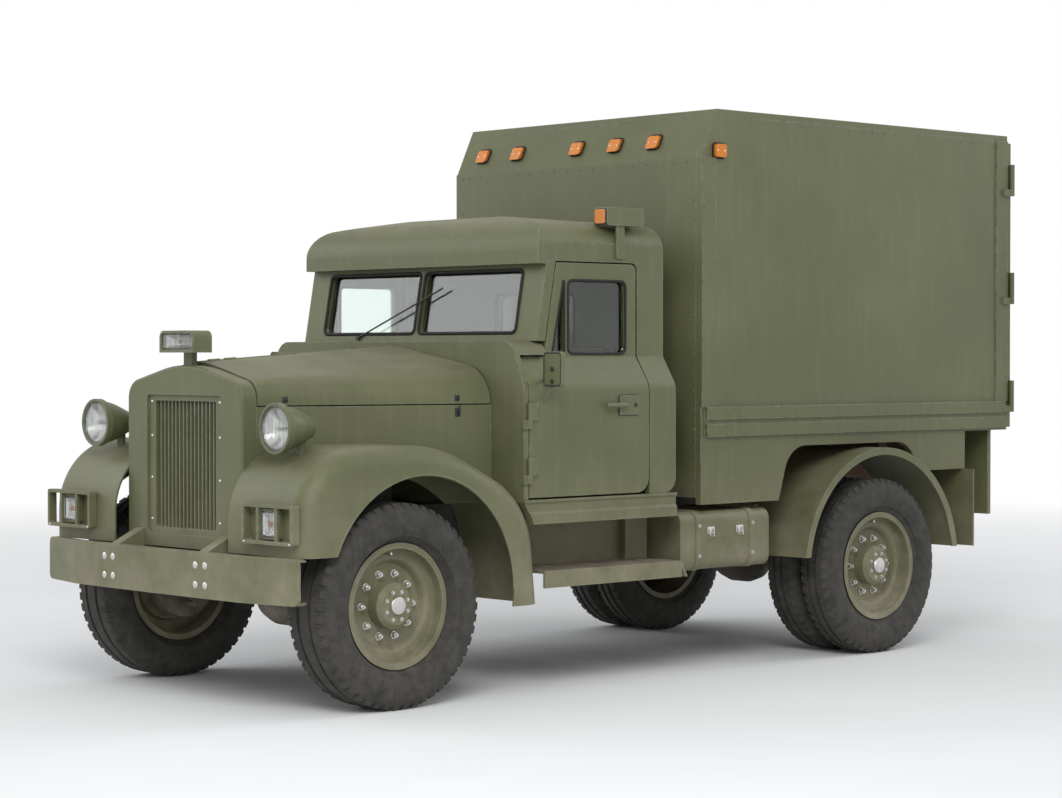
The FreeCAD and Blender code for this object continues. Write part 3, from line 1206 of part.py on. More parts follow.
def front_door():
    """The left door, with its hinges, handle, lever and mirror, and its two panes."""
    gap = S.door_gap
    hinge_x, hinge_y = S.cab_half + S.door_hinge_set, S.door_front - gap
    skin = cab_walls(S.door_front - S.overrun, S.door_rear + S.overrun, S.cab_low, S.cab_top)
    shape = prism("YZ", [(S.door_front, S.door_low), (S.door_rear, S.door_low, S.door_corner),
                         (S.door_rear, S.door_high, S.door_top_corner), (S.pillar_high_edge, S.door_high),
                         (S.pillar_low_edge, S.belt_high), (S.door_front, S.belt_high)],
                  0, S.cab_half + S.overrun)
    reach = S.door_rear - hinge_y
    edge_swing = Size(math.hypot(reach.value, S.door_hinge_set.value),
                      f"sqrt(({reach.text}) ^ 2 + Sheet.door_hinge_set ^ 2)")
    sweep = rod("z", (hinge_x, hinge_y), edge_swing + S.door_sweep,
                S.door_low - S.overrun, S.door_high + S.overrun)
    pane = rectangle(S.window_front, S.window_rear, S.window_low, S.window_high, S.window_corner)
    window = prism("YZ", pane, 0, S.cab_half + S.overrun)
    vent_rear = S.window_front - S.vent_bar
    vent = prism("YZ", [(S.vent_low_front, S.window_low), (vent_rear, S.window_low),
                        (vent_rear, S.window_high), (S.vent_high_front, S.window_high)],
                 0, S.cab_half + S.overrun)
    panel = cut(common(skin, shape, sweep), window, vent)
    middle = S.cab_upper_half - S.cab_wall / 2
    sheet_glass = block((middle - S.glass_wall / 2, middle + S.glass_wall / 2), (S.door_front, S.door_rear),
                        (S.window_low, S.window_high))
    glass = group(common(sheet_glass, window), common(sheet_glass, vent))

    pieces = [panel]
    face = S.cab_half
    for low in (S.door_hinge_low, S.door_hinge_high):
        barrel = rod("z", (hinge_x, hinge_y), S.door_hinge_radius, low, low + S.door_hinge_length)
        leaf = block((face - S.handle_base / 2, hinge_x + S.handle_base / 2),
                     (hinge_y, S.door_front + S.door_hinge_length / 2), (low, low + S.door_hinge_length))
        pieces += [barrel, leaf]
    plate = prism("YZ", rectangle(S.handle_front, S.handle_rear, S.handle_low, S.handle_high, S.handle_base),
                  face - S.handle_base / 2, face + S.handle_base)
    pivot_y, pivot_x = S.handle_front + S.lever_radius * 2, face + S.lever_out
    post = rod("x", (pivot_y, S.lever_high), S.lever_radius, face, pivot_x)
    lever = link((pivot_x, pivot_y, S.lever_high), (pivot_x, S.lever_front, S.lever_high), S.lever_radius)
    knob = ball((pivot_x, pivot_y, S.lever_high), S.lever_radius)
    mirror_middle = (S.mirror_low + S.mirror_high) / 2
    mirror_face = rectangle(S.mirror_reach - S.mirror_span, S.mirror_reach + S.mirror_span,
                            S.mirror_low, S.mirror_high, S.mirror_round)
    housing = prism("XZ", mirror_face, S.mirror_place, S.mirror_place + S.mirror_depth)
    arm_y, arm_radius = S.mirror_place + S.mirror_depth / 2, S.mirror_arm_radius
    arms = [link((face - arm_radius, arm_y, S.belt_low - S.door_hinge_length),
                 (S.mirror_reach, arm_y, S.mirror_low + S.mirror_round), arm_radius),
            link((face - S.cab_wall, arm_y, S.belt_low + arm_radius),
                 (S.mirror_reach, arm_y, mirror_middle), arm_radius)]
    node("door_left", fuse(*pieces, plate, post, lever, knob, housing, *arms))
    node("door_glass_left", glass)
    node("door_right", mirrored(nodes["door_left"]))
    node("door_glass_right", mirrored(nodes["door_glass_left"]))


front_door()

# Running boards, side boxes and rear mudguards


def running_board():
    step = S.board_high - S.board_step
    tread = prism("YZ", [(S.board_front, step), (S.board_rear - S.board_round, step, S.board_round / 2),
                         (S.board_rear, S.board_low), (S.board_rear - S.hanger_wall, S.board_low),
                         (S.board_rear - S.board_round - S.hanger_wall, step - S.hanger_wall),
                         (S.board_front, step - S.hanger_wall)], S.board_inner, S.board_outer)
    valance = block((S.board_outer - S.hanger_wall, S.board_outer),
                    (S.board_front, S.board_rear - S.board_round), (S.board_low, step - S.hanger_wall / 2))
    brackets = []
    for place in (S.hanger_front, S.hanger_rear - S.bracket_width, S.board_front + S.bracket_width):
        brackets.append(block((S.rail_reach + S.seat, S.board_inner + S.bracket_width),
                              (place, place + S.bracket_width),
                              (step - S.hanger_wall - S.bracket_height, step - S.hanger_wall / 2)))
        brackets.append(block((S.rail_reach + S.seat, S.rail_reach + S.seat + S.hanger_wall),
                              (place, place + S.bracket_width),
                              (step - S.hanger_wall - S.bracket_height, S.rail_low + S.bracket_height)))
    high = S.sill_low - S.seat
    panel = block((S.board_inner, S.board_inner + S.hanger_wall), (S.board_front, S.hanger_rear),
                  (step - S.hanger_wall, high))
    hanger = block((S.board_inner, S.board_inner + S.bracket_width), (S.hanger_front, S.hanger_rear),
                   (step - S.hanger_wall, high))
    return fuse(tread, valance, panel, hanger, *brackets)


def side_box():
    section = rectangle(S.side_box_inner, S.side_box_outer, S.side_box_low, S.side_box_high, S.side_box_round)
    body = prism("XZ", section, S.side_box_front, S.side_box_rear)
    wall = S.strap_wall
    straps, arms = [], []
    span = S.side_box_rear - S.side_box_front
    for share in (S.strap_front_share, 1 - S.strap_front_share):
        place = S.side_box_front + span * share
        outer = rectangle(S.side_box_inner - wall, S.side_box_outer + wall, S.side_box_low - wall,
                          S.side_box_high + wall, S.side_box_round + wall)
        straps.append(prism("XZ", outer, place - S.strap_width / 2, place + S.strap_width / 2))
        arms.append(block((S.rail_reach + S.seat, S.side_box_inner + S.side_box_round),
                          (place - S.strap_width / 2, place + S.strap_width / 2),
                          (S.rail_low + S.rail_flange / 2, S.rail_low + S.rail_flange)))
    return fuse(body, *straps, *arms)


def mudguard():
    """An arched guard over the rear twin wheels, with an outer lip, a flap and its stays."""
    place, radius, wall = S.wheelbase, S.guard_radius, S.guard_wall
    centre = (place, AXLE)
    ring = cut(rod("x", centre, radius, S.guard_inner, S.guard_outer),
               rod("x", centre, radius - wall, S.guard_inner - S.overrun, S.guard_outer + S.overrun))
    lip = cut(rod("x", centre, radius, S.guard_outer - wall, S.guard_outer),
              rod("x", centre, radius - S.guard_lip, S.guard_inner, S.guard_outer + S.overrun))
    keep = block((S.guard_inner - S.overrun, S.guard_outer + S.overrun),
                 (place - radius * 2, place + radius * 2), (S.guard_low, AXLE + radius * 2))
    band = common(fuse(ring, lip), keep)
    stays = [block((S.rail_reach + S.seat, S.guard_inner + S.overrun), (start, start + S.bracket_height),
                   (S.rail_low + S.bracket_height, S.rail_low + S.bracket_height * 2))
             for start in (place - S.stay_reach, place + S.stay_reach - S.bracket_height)]
    flap = block((S.guard_inner, S.guard_outer - S.guard_wall * 2), (S.flap_rear - S.flap_wall, S.flap_rear),
                 (S.flap_low, S.skirt_tail_low - S.seat))
    return band, flap, stays


def side_pieces():
    node("running_boards", pair(running_board()))
    node("side_boxes", pair(side_box()))


side_pieces()

# Box body

BROW_LAMP_SHARES = (-0.81, -0.51, -0.01, 0.3, 0.605)
REAR_HINGE_SHARES = (0.12, 0.5, 0.88)


def box_floor():
    """The load floor on cross bearers and long sills that rest on the frame."""
    low, high = S.box_floor_low, S.box_floor_high
    inner = S.box_half - S.box_wall - S.seat
    front, rear = S.box_front + S.box_wall + S.seat, S.box_rear - S.rear_door_wall - S.seat
    floor = block((-inner, inner), (front, rear), (low, high))
    last = S.post_rear - S.rear_panel_wall - S.seat
    span = (last - front - S.bearer_width) / (S.bearer_count.value - 1)
    starts = [front + span * count for count in range(int(S.bearer_count.value))]
    bearers = [block((-S.bearer_reach, S.bearer_reach), (start, start + S.bearer_width),
                     (low - S.bearer_height, low)) for start in starts]
    sill = block((S.rail_reach - S.rail_flange, S.rail_reach), (S.box_front + S.box_wall, S.rail_rear),
                 (S.rail_high + S.seat, low - S.bearer_height))
    node("box_floor", fuse(floor, *bearers, sill, mirrored(sill)))


def box_side():
    """One side wall with its skirt, wheel cutout, raised rail band and corner trims."""
    inner, outer = S.box_half - S.box_wall, S.box_half
    low, top = S.skirt_low, S.box_top - S.seat - S.roof_panel
    front, rear = S.box_front, S.box_rear
    brow = S.box_front + S.brow_set
    share = (top - S.brow_low) / (S.box_top - S.brow_low)
    round_ = S.box_arch_round
    whole = prism("YZ", [
        (front, low), (S.skirt_tail_rear, low), (S.skirt_tail_rear, S.box_floor_low), (rear, S.box_floor_low),
        (rear, top), (front + S.brow_set * share, top), (front, S.brow_low)], inner, outer)
    arch = prism("YZ", [
        (S.skirt_rear, low - S.overrun), (S.skirt_rear, low), (S.arch_front_foot, S.box_arch_high, round_),
        (S.box_arch_rear, S.box_arch_high, round_), (S.skirt_tail_start, S.skirt_tail_low - S.overrun),
        (S.skirt_tail_start, low - S.overrun)], inner - S.overrun, outer + S.overrun)
    tail = block((inner - S.overrun, outer + S.overrun), (S.skirt_tail_start - S.overrun, S.skirt_tail_rear +
                 S.overrun), (low - S.overrun, S.skirt_tail_low))
    wall = cut(whole, arch, tail)
    band = prism("YZ", rectangle(S.rail_band_front, S.rail_band_rear, S.rail_band_low, S.rail_band_high),
                 inner, outer + S.rail_band_out)
    middle = (S.rail_band_low + S.rail_band_high) / 2
    groove = block((outer + S.rail_band_out - S.rail_groove, outer + S.rail_band_out + S.overrun),
                   (S.rail_band_front - S.overrun, S.rail_band_rear + S.overrun),
                   (middle - S.rail_groove, middle + S.rail_groove))
    trim_wall = S.corner_trim_wall
    trims = [block((outer - trim_wall, outer + trim_wall), (rear - S.corner_trim, rear),
                   (S.rail_band_high, top)),
             block((outer - trim_wall, outer + trim_wall), (front, front + S.corner_trim),
                   (S.rail_band_high, S.brow_low))]
    hinge_x, hinge_y = S.box_half + S.rear_hinge_set, rear + S.rear_hinge_place
    door_low, door_high = S.box_floor_low + S.rear_door_gap * 2, S.box_top - S.roof_panel - S.rear_door_gap
    hinges = []
    for share in REAR_HINGE_SHARES:
        end = door_low + (door_high - door_low) * share - S.rear_hinge_length / 2 - S.seat
        start = end - S.rear_hinge_length / 4
        hinges.append(rod("z", (hinge_x, hinge_y), S.rear_hinge_radius, start, end))
        hinges.append(block((outer + trim_wall / 2, hinge_x + S.rear_hinge_leaf / 2),
                            (rear - S.corner_trim / 2, hinge_y), (start, end)))
    return cut(fuse(wall, band, *trims, *hinges), groove)


def box_body():
    node("box_left_wall", box_side())
    node("box_right_wall", mirrored(nodes["box_left_wall"]))
    half = S.box_half - S.box_wall - S.seat
    front, wall = S.box_front, S.box_wall
    top = S.box_top - S.seat - S.roof_panel
    share = (top - S.brow_low) / (S.box_top - S.brow_low)
    lean = S.brow_set * share
    panel = prism("YZ", [(front, S.box_front_low), (front + wall, S.box_front_low),
                         (front + wall, S.brow_low), (front + wall + lean, top), (front + lean, top),
                         (front, S.brow_low)], -half, half)
    node("box_front_wall", panel)
    brow = S.brow_set
    low = S.box_top - S.roof_panel
    roof = prism("YZ", [(front + lean, low), (S.box_rear, low), (S.box_rear, S.box_top),
                        (front + brow, S.box_top)], -S.box_half, S.box_half)
    node("box_roof", roof)
    depth = S.rear_door_wall
    frame_half = S.box_half - S.box_wall - S.seat
    frame_low, frame_high = S.box_floor_low, low - S.seat
    opening = rectangle(-frame_half + S.rear_jamb, frame_half - S.rear_jamb,
                        S.box_floor_high, frame_high - S.rear_header)
    around = rectangle(-frame_half, frame_half, frame_low, frame_high)
    frame = cut(prism("XZ", around, S.box_rear - depth, S.box_rear),
                prism("XZ", opening, S.box_rear - depth - S.overrun, S.box_rear + S.overrun))
    node("box_rear_frame", frame)


box_floor()
box_body()


def rear_body():
    """The twin wheels' guards and flaps, and the panel below the load space with its towing tongue."""
    band, flap, stays = mudguard()
    guard = fuse(band, *stays)
    node("rear_mudguards", group(guard, mirrored(guard), flap, mirrored(flap)))
    half = S.box_half - S.box_wall - S.seat
    rear, wall = S.post_rear, S.rear_panel_wall
    panel = block((-half, half), (rear - wall, rear), (S.rail_low, S.box_floor_low - S.seat))
    plate = S.tow_tongue_half
    middle = (S.rail_low + S.rail_high) / 2
    low, high = middle - S.tow_tongue_wall / 2, middle + S.tow_tongue_wall / 2
    eye = rear + S.tow_tongue_reach / 2
    tongue = fuse(block((-plate, plate), (rear - wall, eye), (low, high)),
                  rod("z", (0, eye), plate, low, high))
    bore = rod("z", (0, eye), S.tow_hole_radius, middle - S.tow_tongue_wall, middle + S.tow_tongue_wall)
    node("rear_panel", cut(fuse(panel, tongue), bore))


def tail_lamps():
    """Round tail lamps on the rear panel, lamps along the load space's brow and on its sides."""
    rear = S.post_rear
    pieces = []
    for count in range(2):
        x = S.tail_lamp_reach - S.tail_lamp_step * count
        lamp = rod("y", (x, S.tail_lamp_high), S.tail_lamp_radius, rear + S.seat, rear + S.tail_lamp_depth)
        pieces += [lamp, mirrored(lamp)]
    side_x = S.box_half + S.seat
    tall = S.marker_height / 2
    side = prism("YZ", rectangle(S.side_marker_place - S.marker_half, S.side_marker_place + S.marker_half,
                                 S.side_marker_high - tall, S.side_marker_high + tall, S.marker_round),
                 side_x, side_x + S.marker_depth)
    pieces += [side, mirrored(side)]
    lean = S.brow_set / (S.box_top - S.brow_low)
    low, high = S.box_top - S.marker_drop - tall, S.box_top - S.marker_drop + tall

    def face(height):
        return S.box_front + lean * (height - S.brow_low) - S.seat

    slab = prism("YZ", [(face(low) - S.marker_depth, low), (face(low), low), (face(high), high),
                        (face(high) - S.marker_depth, high)], -S.box_half, S.box_half)
    for share in BROW_LAMP_SHARES:
        x = S.box_half * share
        lamp = prism("XZ", rectangle(x - S.marker_half, x + S.marker_half, low, high, S.marker_round),
                     face(low) - S.marker_depth * 2, face(high))
        pieces.append(common(slab, lamp))
    node("marker_lamps", group(*pieces))


def rear_doors():
    """The load space's left rear door with its hinges and lock rod; the right one mirrors it."""
    half = S.box_half - S.box_wall - S.seat
    edge = S.rear_door_edge
    face = S.box_rear + S.rear_door_gap
    back = face + S.rear_door_wall
    low, high = S.box_floor_low + S.rear_door_gap * 2, S.box_top - S.roof_panel - S.rear_door_gap
    panel = block((S.rear_door_gap / 2, edge), (face, back), (low, high))
    hinge_x, hinge_y = S.box_half + S.rear_hinge_set, S.box_rear + S.rear_hinge_place
    pieces = [panel]
    for share in REAR_HINGE_SHARES:
        centre = low + (high - low) * share
        start, end = centre - S.rear_hinge_length / 2, centre + S.rear_hinge_length / 2
        pieces.append(rod("z", (hinge_x, hinge_y), S.rear_hinge_radius, start, end))
        pieces.append(block((edge - S.rear_hinge_length, hinge_x), (back - S.rear_hinge_leaf, back),
                            (start, end)))
    lock_x = S.door_lock_set
    rod_y = back - S.door_lock_radius / 2
    pieces.append(rod("z", (lock_x, rod_y), S.door_lock_radius,
                      low + S.rear_door_gap, high - S.rear_door_gap))
    node("rear_door_left", fuse(*pieces))
    node("rear_door_right", mirrored(nodes["rear_door_left"]))


rear_body()
tail_lamps()
rear_doors()


# Files

doc.recompute()
for item in doc.Objects:
    if "Invalid" in item.State or "Error" in item.State:
        raise RuntimeError(f"{item.Label} did not build")
for label, solid in nodes.items():
    if solid.Shape.isNull() or not solid.Shape.isValid():
        raise RuntimeError(f"{label} has no valid shape")
for label, solid in nodes.items():
    solid.Shape.exportStep(f"parts/{label}.step")
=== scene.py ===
import json
import math

import bmesh
import bpy
from mathutils import Matrix, Vector
from mathutils.bvhtree import BVHTree


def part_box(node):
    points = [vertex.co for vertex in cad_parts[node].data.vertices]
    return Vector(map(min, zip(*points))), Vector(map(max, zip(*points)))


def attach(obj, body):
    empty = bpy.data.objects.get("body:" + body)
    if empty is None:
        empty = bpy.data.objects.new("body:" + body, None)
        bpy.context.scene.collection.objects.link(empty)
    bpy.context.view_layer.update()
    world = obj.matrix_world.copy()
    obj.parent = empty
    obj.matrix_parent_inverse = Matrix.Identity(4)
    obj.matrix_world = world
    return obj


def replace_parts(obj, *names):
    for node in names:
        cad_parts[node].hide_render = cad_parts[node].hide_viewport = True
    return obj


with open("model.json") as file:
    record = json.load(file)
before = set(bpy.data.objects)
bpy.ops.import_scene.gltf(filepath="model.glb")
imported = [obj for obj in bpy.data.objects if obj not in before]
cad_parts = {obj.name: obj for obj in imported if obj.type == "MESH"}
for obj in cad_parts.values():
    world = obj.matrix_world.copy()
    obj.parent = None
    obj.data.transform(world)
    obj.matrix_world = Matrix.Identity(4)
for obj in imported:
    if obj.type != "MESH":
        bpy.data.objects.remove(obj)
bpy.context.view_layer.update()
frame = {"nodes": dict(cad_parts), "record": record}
nodes = frame["nodes"]

# Driving dimensions, in metres, read from the frame where it gives them.

tyre_low, tyre_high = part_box("tyre_front_left")
rear_low, rear_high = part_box("tyre_rear_left")
AXLE_HIGH = (tyre_low.z + tyre_high.z) / 2
FRONT_AXLE = (tyre_low.y + tyre_high.y) / 2
REAR_AXLE = (rear_low.y + rear_high.y) / 2
TYRE_RADIUS = (tyre_high.z - tyre_low.z) / 2

# The camera stands where the drawing was seen from.

CAMERA_PLACE = (10.958, -10.4595, 1.799)
CAMERA_TURN = math.radians(47.133)
CAMERA_DIP = math.radians(1.010)
CAMERA_LENS = 86.72


# The lights: place, aim, size and power in watts, and the even sky.

LIGHTS = {
    "key": ((9, -9, 9), (0, 0, 1.2), (6, 6), 900),
    "fill": ((-9, -7, 6), (0, 0, 1.2), (7, 5), 260),
    "back": ((4, 11, 8), (0, 0, 1.5), (6, 5), 320),
}
SKY_COLOUR = (0.93, 0.96, 1.0, 1)
SKY_STRENGTH = 0.62


def set_camera():
    data = bpy.data.cameras.new("camera")
    data.lens = CAMERA_LENS
    data.clip_end = 200
    camera = bpy.data.objects.new("camera", data)
    camera.location = CAMERA_PLACE
    camera.rotation_euler = (math.pi / 2 - CAMERA_DIP, 0, CAMERA_TURN)
    bpy.context.scene.collection.objects.link(camera)
    bpy.context.scene.camera = camera


def area_light(name, place, aim, size, power):
    data = bpy.data.lights.new(name, "AREA")
    data.shape = "RECTANGLE"
    data.size, data.size_y = size
    data.energy = power
    light = bpy.data.objects.new(name, data)
    light.location = place
    light.rotation_euler = (Vector(place) - Vector(aim)).to_track_quat("Z", "Y").to_euler()
    bpy.context.scene.collection.objects.link(light)


def set_light():
    """A soft key from the front left, a weaker fill, and an even pale sky."""
    for name, values in LIGHTS.items():
        area_light(name, *values)
    world = bpy.data.worlds.new("sky")
    bpy.context.scene.world = world
    world.use_nodes = True
    tree = world.node_tree
    tree.nodes.clear()
    output = add_node(tree, "OutputWorld")
    lit, seen = add_node(tree, "Background"), add_node(tree, "Background")
    feed(tree, lit, Color=SKY_COLOUR, Strength=SKY_STRENGTH)
    feed(tree, seen, Color=(1, 1, 1, 1), Strength=1.0)
    path = add_node(tree, "LightPath").outputs
    direct = arithmetic(tree, "MAXIMUM", path["Is Camera Ray"], path["Is Glossy Ray"])
    direct = arithmetic(tree, "MAXIMUM", direct, path["Is Transmission Ray"])
    mix = add_node(tree, "MixShader")
    tree.links.new(direct, mix.inputs["Fac"])
    tree.links.new(lit.outputs[0], mix.inputs[1])
    tree.links.new(seen.outputs[0], mix.inputs[2])
    feed(tree, output, Surface=mix.outputs[0])
    bpy.context.scene.view_settings.view_transform = "Standard"


def set_floor():
    """A plain pale floor that keeps the truck's shadow and fades to white where only it is seen."""
    made = bmesh.new()
    bmesh.ops.create_circle(made, cap_ends=True, segments=96, radius=60)
    piece_from(made, "floor", "floor")


# Node groups that more than one finish shares

DRY_DUST = (0.42, 0.36, 0.27, 1)
ROAD_DIRT = (0.165, 0.150, 0.122, 1)


def grey(level):
    return (level, level, level, 1)


def start_group(name, outputs, **inputs):
    """A shader group fed by a vector and by inputs whose values tell colours from numbers."""
    tree = bpy.data.node_groups.new(name, "ShaderNodeTree")
    tree.interface.new_socket(name="Vector", in_out="INPUT", socket_type="NodeSocketVector")
    for label, value in inputs.items():
        kind = "NodeSocketColor" if isinstance(value, tuple) else "NodeSocketFloat"
        tree.interface.new_socket(name=label, in_out="INPUT", socket_type=kind).default_value = value
    for label in outputs:
        kind = "NodeSocketColor" if label == "Color" else "NodeSocketFloat"
        tree.interface.new_socket(name=label, in_out="OUTPUT", socket_type=kind)
    return tree, tree.nodes.new("NodeGroupInput").outputs, tree.nodes.new("NodeGroupOutput")


def add_node(tree, kind, **settings):
    node = tree.nodes.new(f"ShaderNode{kind}")
    for name, value in settings.items():
        setattr(node, name, value)
    return node


def fill_socket(tree, socket, value):
    """Link a socket to another, or set its value."""
    if isinstance(value, bpy.types.NodeSocket):
        tree.links.new(value, socket)
    else:
        socket.default_value = value


def feed(tree, node, **values):
    """Fill inputs by name; a name's underscores stand for spaces."""
    for name, value in values.items():
        fill_socket(tree, node.inputs[name.replace("_", " ")], value)


def noise(tree, vector, scale, detail=4.0, roughness=0.55):
    node = add_node(tree, "TexNoise")
    feed(tree, node, Vector=vector, Scale=scale, Detail=detail, Roughness=roughness)
    return node.outputs["Fac"]


def wave(tree, vector, direction, scale, **settings):
    """Even bands across one direction."""
    node = add_node(tree, "TexWave", wave_type="BANDS", bands_direction=direction)
    feed(tree, node, Vector=vector, Scale=scale, **settings)
    return node.outputs["Fac"]


def stretched(tree, vector, scale):
    node = add_node(tree, "Mapping")
    feed(tree, node, Vector=vector, Scale=scale)
    return node.outputs["Vector"]


def part_of(tree, vector, direction):
    """One of the three numbers of a vector."""
    node = add_node(tree, "SeparateXYZ")
    feed(tree, node, Vector=vector)
    return node.outputs[direction]


def ramp(tree, value, low, high, to_low=0.0, to_high=1.0):
    """Map one span of values to another and hold the ends."""
    node = add_node(tree, "MapRange")
    feed(tree, node, Value=value, From_Min=low, From_Max=high, To_Min=to_low, To_Max=to_high)
    return node.outputs["Result"]


def arithmetic(tree, operation, *values):
    node = add_node(tree, "Math", operation=operation)
    for index, value in enumerate(values):
        fill_socket(tree, node.inputs[index], value)
    return node.outputs[0]


def product(tree, first, *others):
    for other in others:
        first = arithmetic(tree, "MULTIPLY", first, other)
    return first


def combine(tree, operation, *vectors):
    """A node that works on vectors, such as their sum or their length."""
    node = add_node(tree, "VectorMath", operation=operation)
    for index, vector in enumerate(vectors):
        tree.links.new(vector, node.inputs[index])
    return node.outputs


def blend_colour(tree, share, first, second):
    node = add_node(tree, "Mix", data_type="RGBA")
    sockets = {socket.identifier: socket for socket in node.inputs}
    for name, value in (("Factor_Float", share), ("A_Color", first), ("B_Color", second)):
        fill_socket(tree, sockets[name], value)
    return next(socket for socket in node.outputs if socket.identifier == "Result_Color")


def surface_normal(tree):
    return add_node(tree, "NewGeometry").outputs["Normal"]


def rounded_normal(tree, radius):
    """Normals that turn softly over sharp edges."""
    node = add_node(tree, "Bevel", samples=4)
    feed(tree, node, Radius=radius)
    return node.outputs["Normal"]


def bumped(tree, height, strength, distance, **settings):
    node = add_node(tree, "Bump")
    feed(tree, node, Height=height, Strength=strength, Distance=distance, **settings)
    return node.outputs["Normal"]


def worn_paint_group():
    """Paint that varies a little in tone, with faint runs, fine texture and scuffs."""
    tree, given, out = start_group("worn_paint", ("Color", "Roughness", "Height"), Color=grey(0.1),
                                   Faded=grey(0.1), Scuff=grey(0.1), Roughness=0.5, Scuffs=0.3)
    vector = given["Vector"]
    cloud = noise(tree, vector, 1.3, 5.0, 0.6)
    streak = noise(tree, stretched(tree, vector, (7.0, 7.0, 0.7)), 3.0, 3.0, 0.6)
    fade = arithmetic(tree, "ADD", ramp(tree, cloud, 0.38, 0.7, 0.0, 0.6),
                      ramp(tree, streak, 0.5, 0.8, 0.0, 0.35))
    toned = blend_colour(tree, fade, given["Color"], given["Faded"])
    flecks = ramp(tree, noise(tree, vector, 38.0, 6.0, 0.72), 0.66, 0.7)
    patches = ramp(tree, noise(tree, vector, 2.2, 2.0, 0.5), 0.5, 0.66)
    mask = product(tree, flecks, patches, given["Scuffs"])
    rough = arithmetic(tree, "ADD", given["Roughness"], ramp(tree, cloud, 0.3, 0.7, -0.06, 0.09))
    grain = noise(tree, vector, 260.0, 2.0, 0.5)
    height = arithmetic(tree, "SUBTRACT", product(tree, grain, 0.12), product(tree, mask, 0.5))
    feed(tree, out, Color=blend_colour(tree, mask, toned, given["Scuff"]), Roughness=rough, Height=height)
    return tree


def road_dust_group():
    """Dust that gathers low on the truck and on faces that look up."""
    tree, given, out = start_group("road_dust", ("Color", "Roughness"), Color=grey(0.1), Roughness=0.5,
                                   Dust=DRY_DUST, Reach=1.1, Amount=0.5, Grain=5.0)
    vector = given["Vector"]
    low = ramp(tree, part_of(tree, vector, "Z"), 0.05, given["Reach"], 1.0, 0.0)
    fallen = ramp(tree, part_of(tree, surface_normal(tree), "Z"), 0.55, 1.0, 0.0, 0.42)
    broken = ramp(tree, noise(tree, vector, given["Grain"], 6.0, 0.65), 0.36, 0.68, 0.25, 1.0)
    total = product(tree, arithmetic(tree, "ADD", low, fallen), broken, given["Amount"])
    share = arithmetic(tree, "MINIMUM", total, 0.85)
    feed(tree, out, Color=blend_colour(tree, share, given["Color"], given["Dust"]),
         Roughness=arithmetic(tree, "MULTIPLY_ADD", share, 0.4, given["Roughness"]))
    return tree


def edge_wear_group():
    """Where an edge is rubbed: a mask from normals rounded over a reach, broken by noise."""
    tree, given, out = start_group("edge_wear", ("Mask",), Reach=0.012, Amount=0.6)
    vector = given["Vector"]
    turned = combine(tree, "DOT_PRODUCT", rounded_normal(tree, given["Reach"]), surface_normal(tree))
    edge = ramp(tree, arithmetic(tree, "SUBTRACT", 1.0, turned["Value"]), 0.01, 0.16)
    chipped = ramp(tree, noise(tree, vector, 24.0, 6.0, 0.7), 0.42, 0.6)
    rubbed = ramp(tree, noise(tree, vector, 1.9, 2.0, 0.5), 0.35, 0.65, 0.25, 1.0)
    feed(tree, out, Mask=product(tree, edge, chipped, rubbed, given["Amount"]))
    return tree


def weave_group():
    """Threads that cross: a tone for the colour and a height for the bump."""
    tree, given, out = start_group("weave", ("Tone", "Height"), Pitch=500.0)
    vector = given["Vector"]
    threads = [wave(tree, vector, direction, given["Pitch"], Distortion=0.6, Detail=1.0)
               for direction in "XYZ"]
    height = arithmetic(tree, "MAXIMUM", product(tree, threads[0], threads[2]), threads[1])
    tone = arithmetic(tree, "MULTIPLY_ADD", height, 0.5, noise(tree, vector, 9.0))
    feed(tree, out, Tone=tone, Height=height)
    return tree


# Finishes

FADED_DRAB = (0.150, 0.155, 0.080, 1)
DRAB = (0.098, 0.106, 0.046, 1)
BARE_STEEL = (0.30, 0.29, 0.27, 1)
PRIMER = (0.20, 0.115, 0.07, 1)
PLANK_WIDTH = 0.145
finishes = {}
groups = {}


def start_finish(name):
    """A new finish: its nodes, its shader and the place on the object."""
    material = bpy.data.materials.new(name)
    material.use_nodes = True
    finishes[name] = material
    tree = material.node_tree
    return tree, tree.nodes["Principled BSDF"], add_node(tree, "TexCoord").outputs["Object"]


def use_group(tree, name, **values):
    node = add_node(tree, "Group", node_tree=groups[name])
    feed(tree, node, **values)
    return node.outputs


def shade(colour, share):
    """The same colour, darker or paler."""
    return tuple(value * share for value in colour[:3]) + (1,)


def painted(name, colour, faded, scuff=BARE_STEEL, roughness=0.5, scuffs=0.5, dust=0.55, reach=1.25,
            edge=0.004):
    """Painted sheet or forged metal with soft edges, wear and dust."""
    tree, shader, place = start_finish(name)
    paint = use_group(tree, "worn_paint", Vector=place, Color=colour, Faded=faded, Scuff=scuff,
                      Roughness=roughness, Scuffs=scuffs)
    rubbed = use_group(tree, "edge_wear", Vector=place, Reach=edge * 3, Amount=0.85)
    dusty = use_group(tree, "road_dust", Vector=place, Reach=reach, Amount=dust, Roughness=paint["Roughness"],
                      Color=blend_colour(tree, rubbed["Mask"], paint["Color"], scuff))
    normal = bumped(tree, paint["Height"], 0.35, 0.0012, Normal=rounded_normal(tree, edge))
    feed(tree, shader, Base_Color=dusty["Color"], Roughness=dusty["Roughness"], Normal=normal,
         Specular_IOR_Level=0.42)


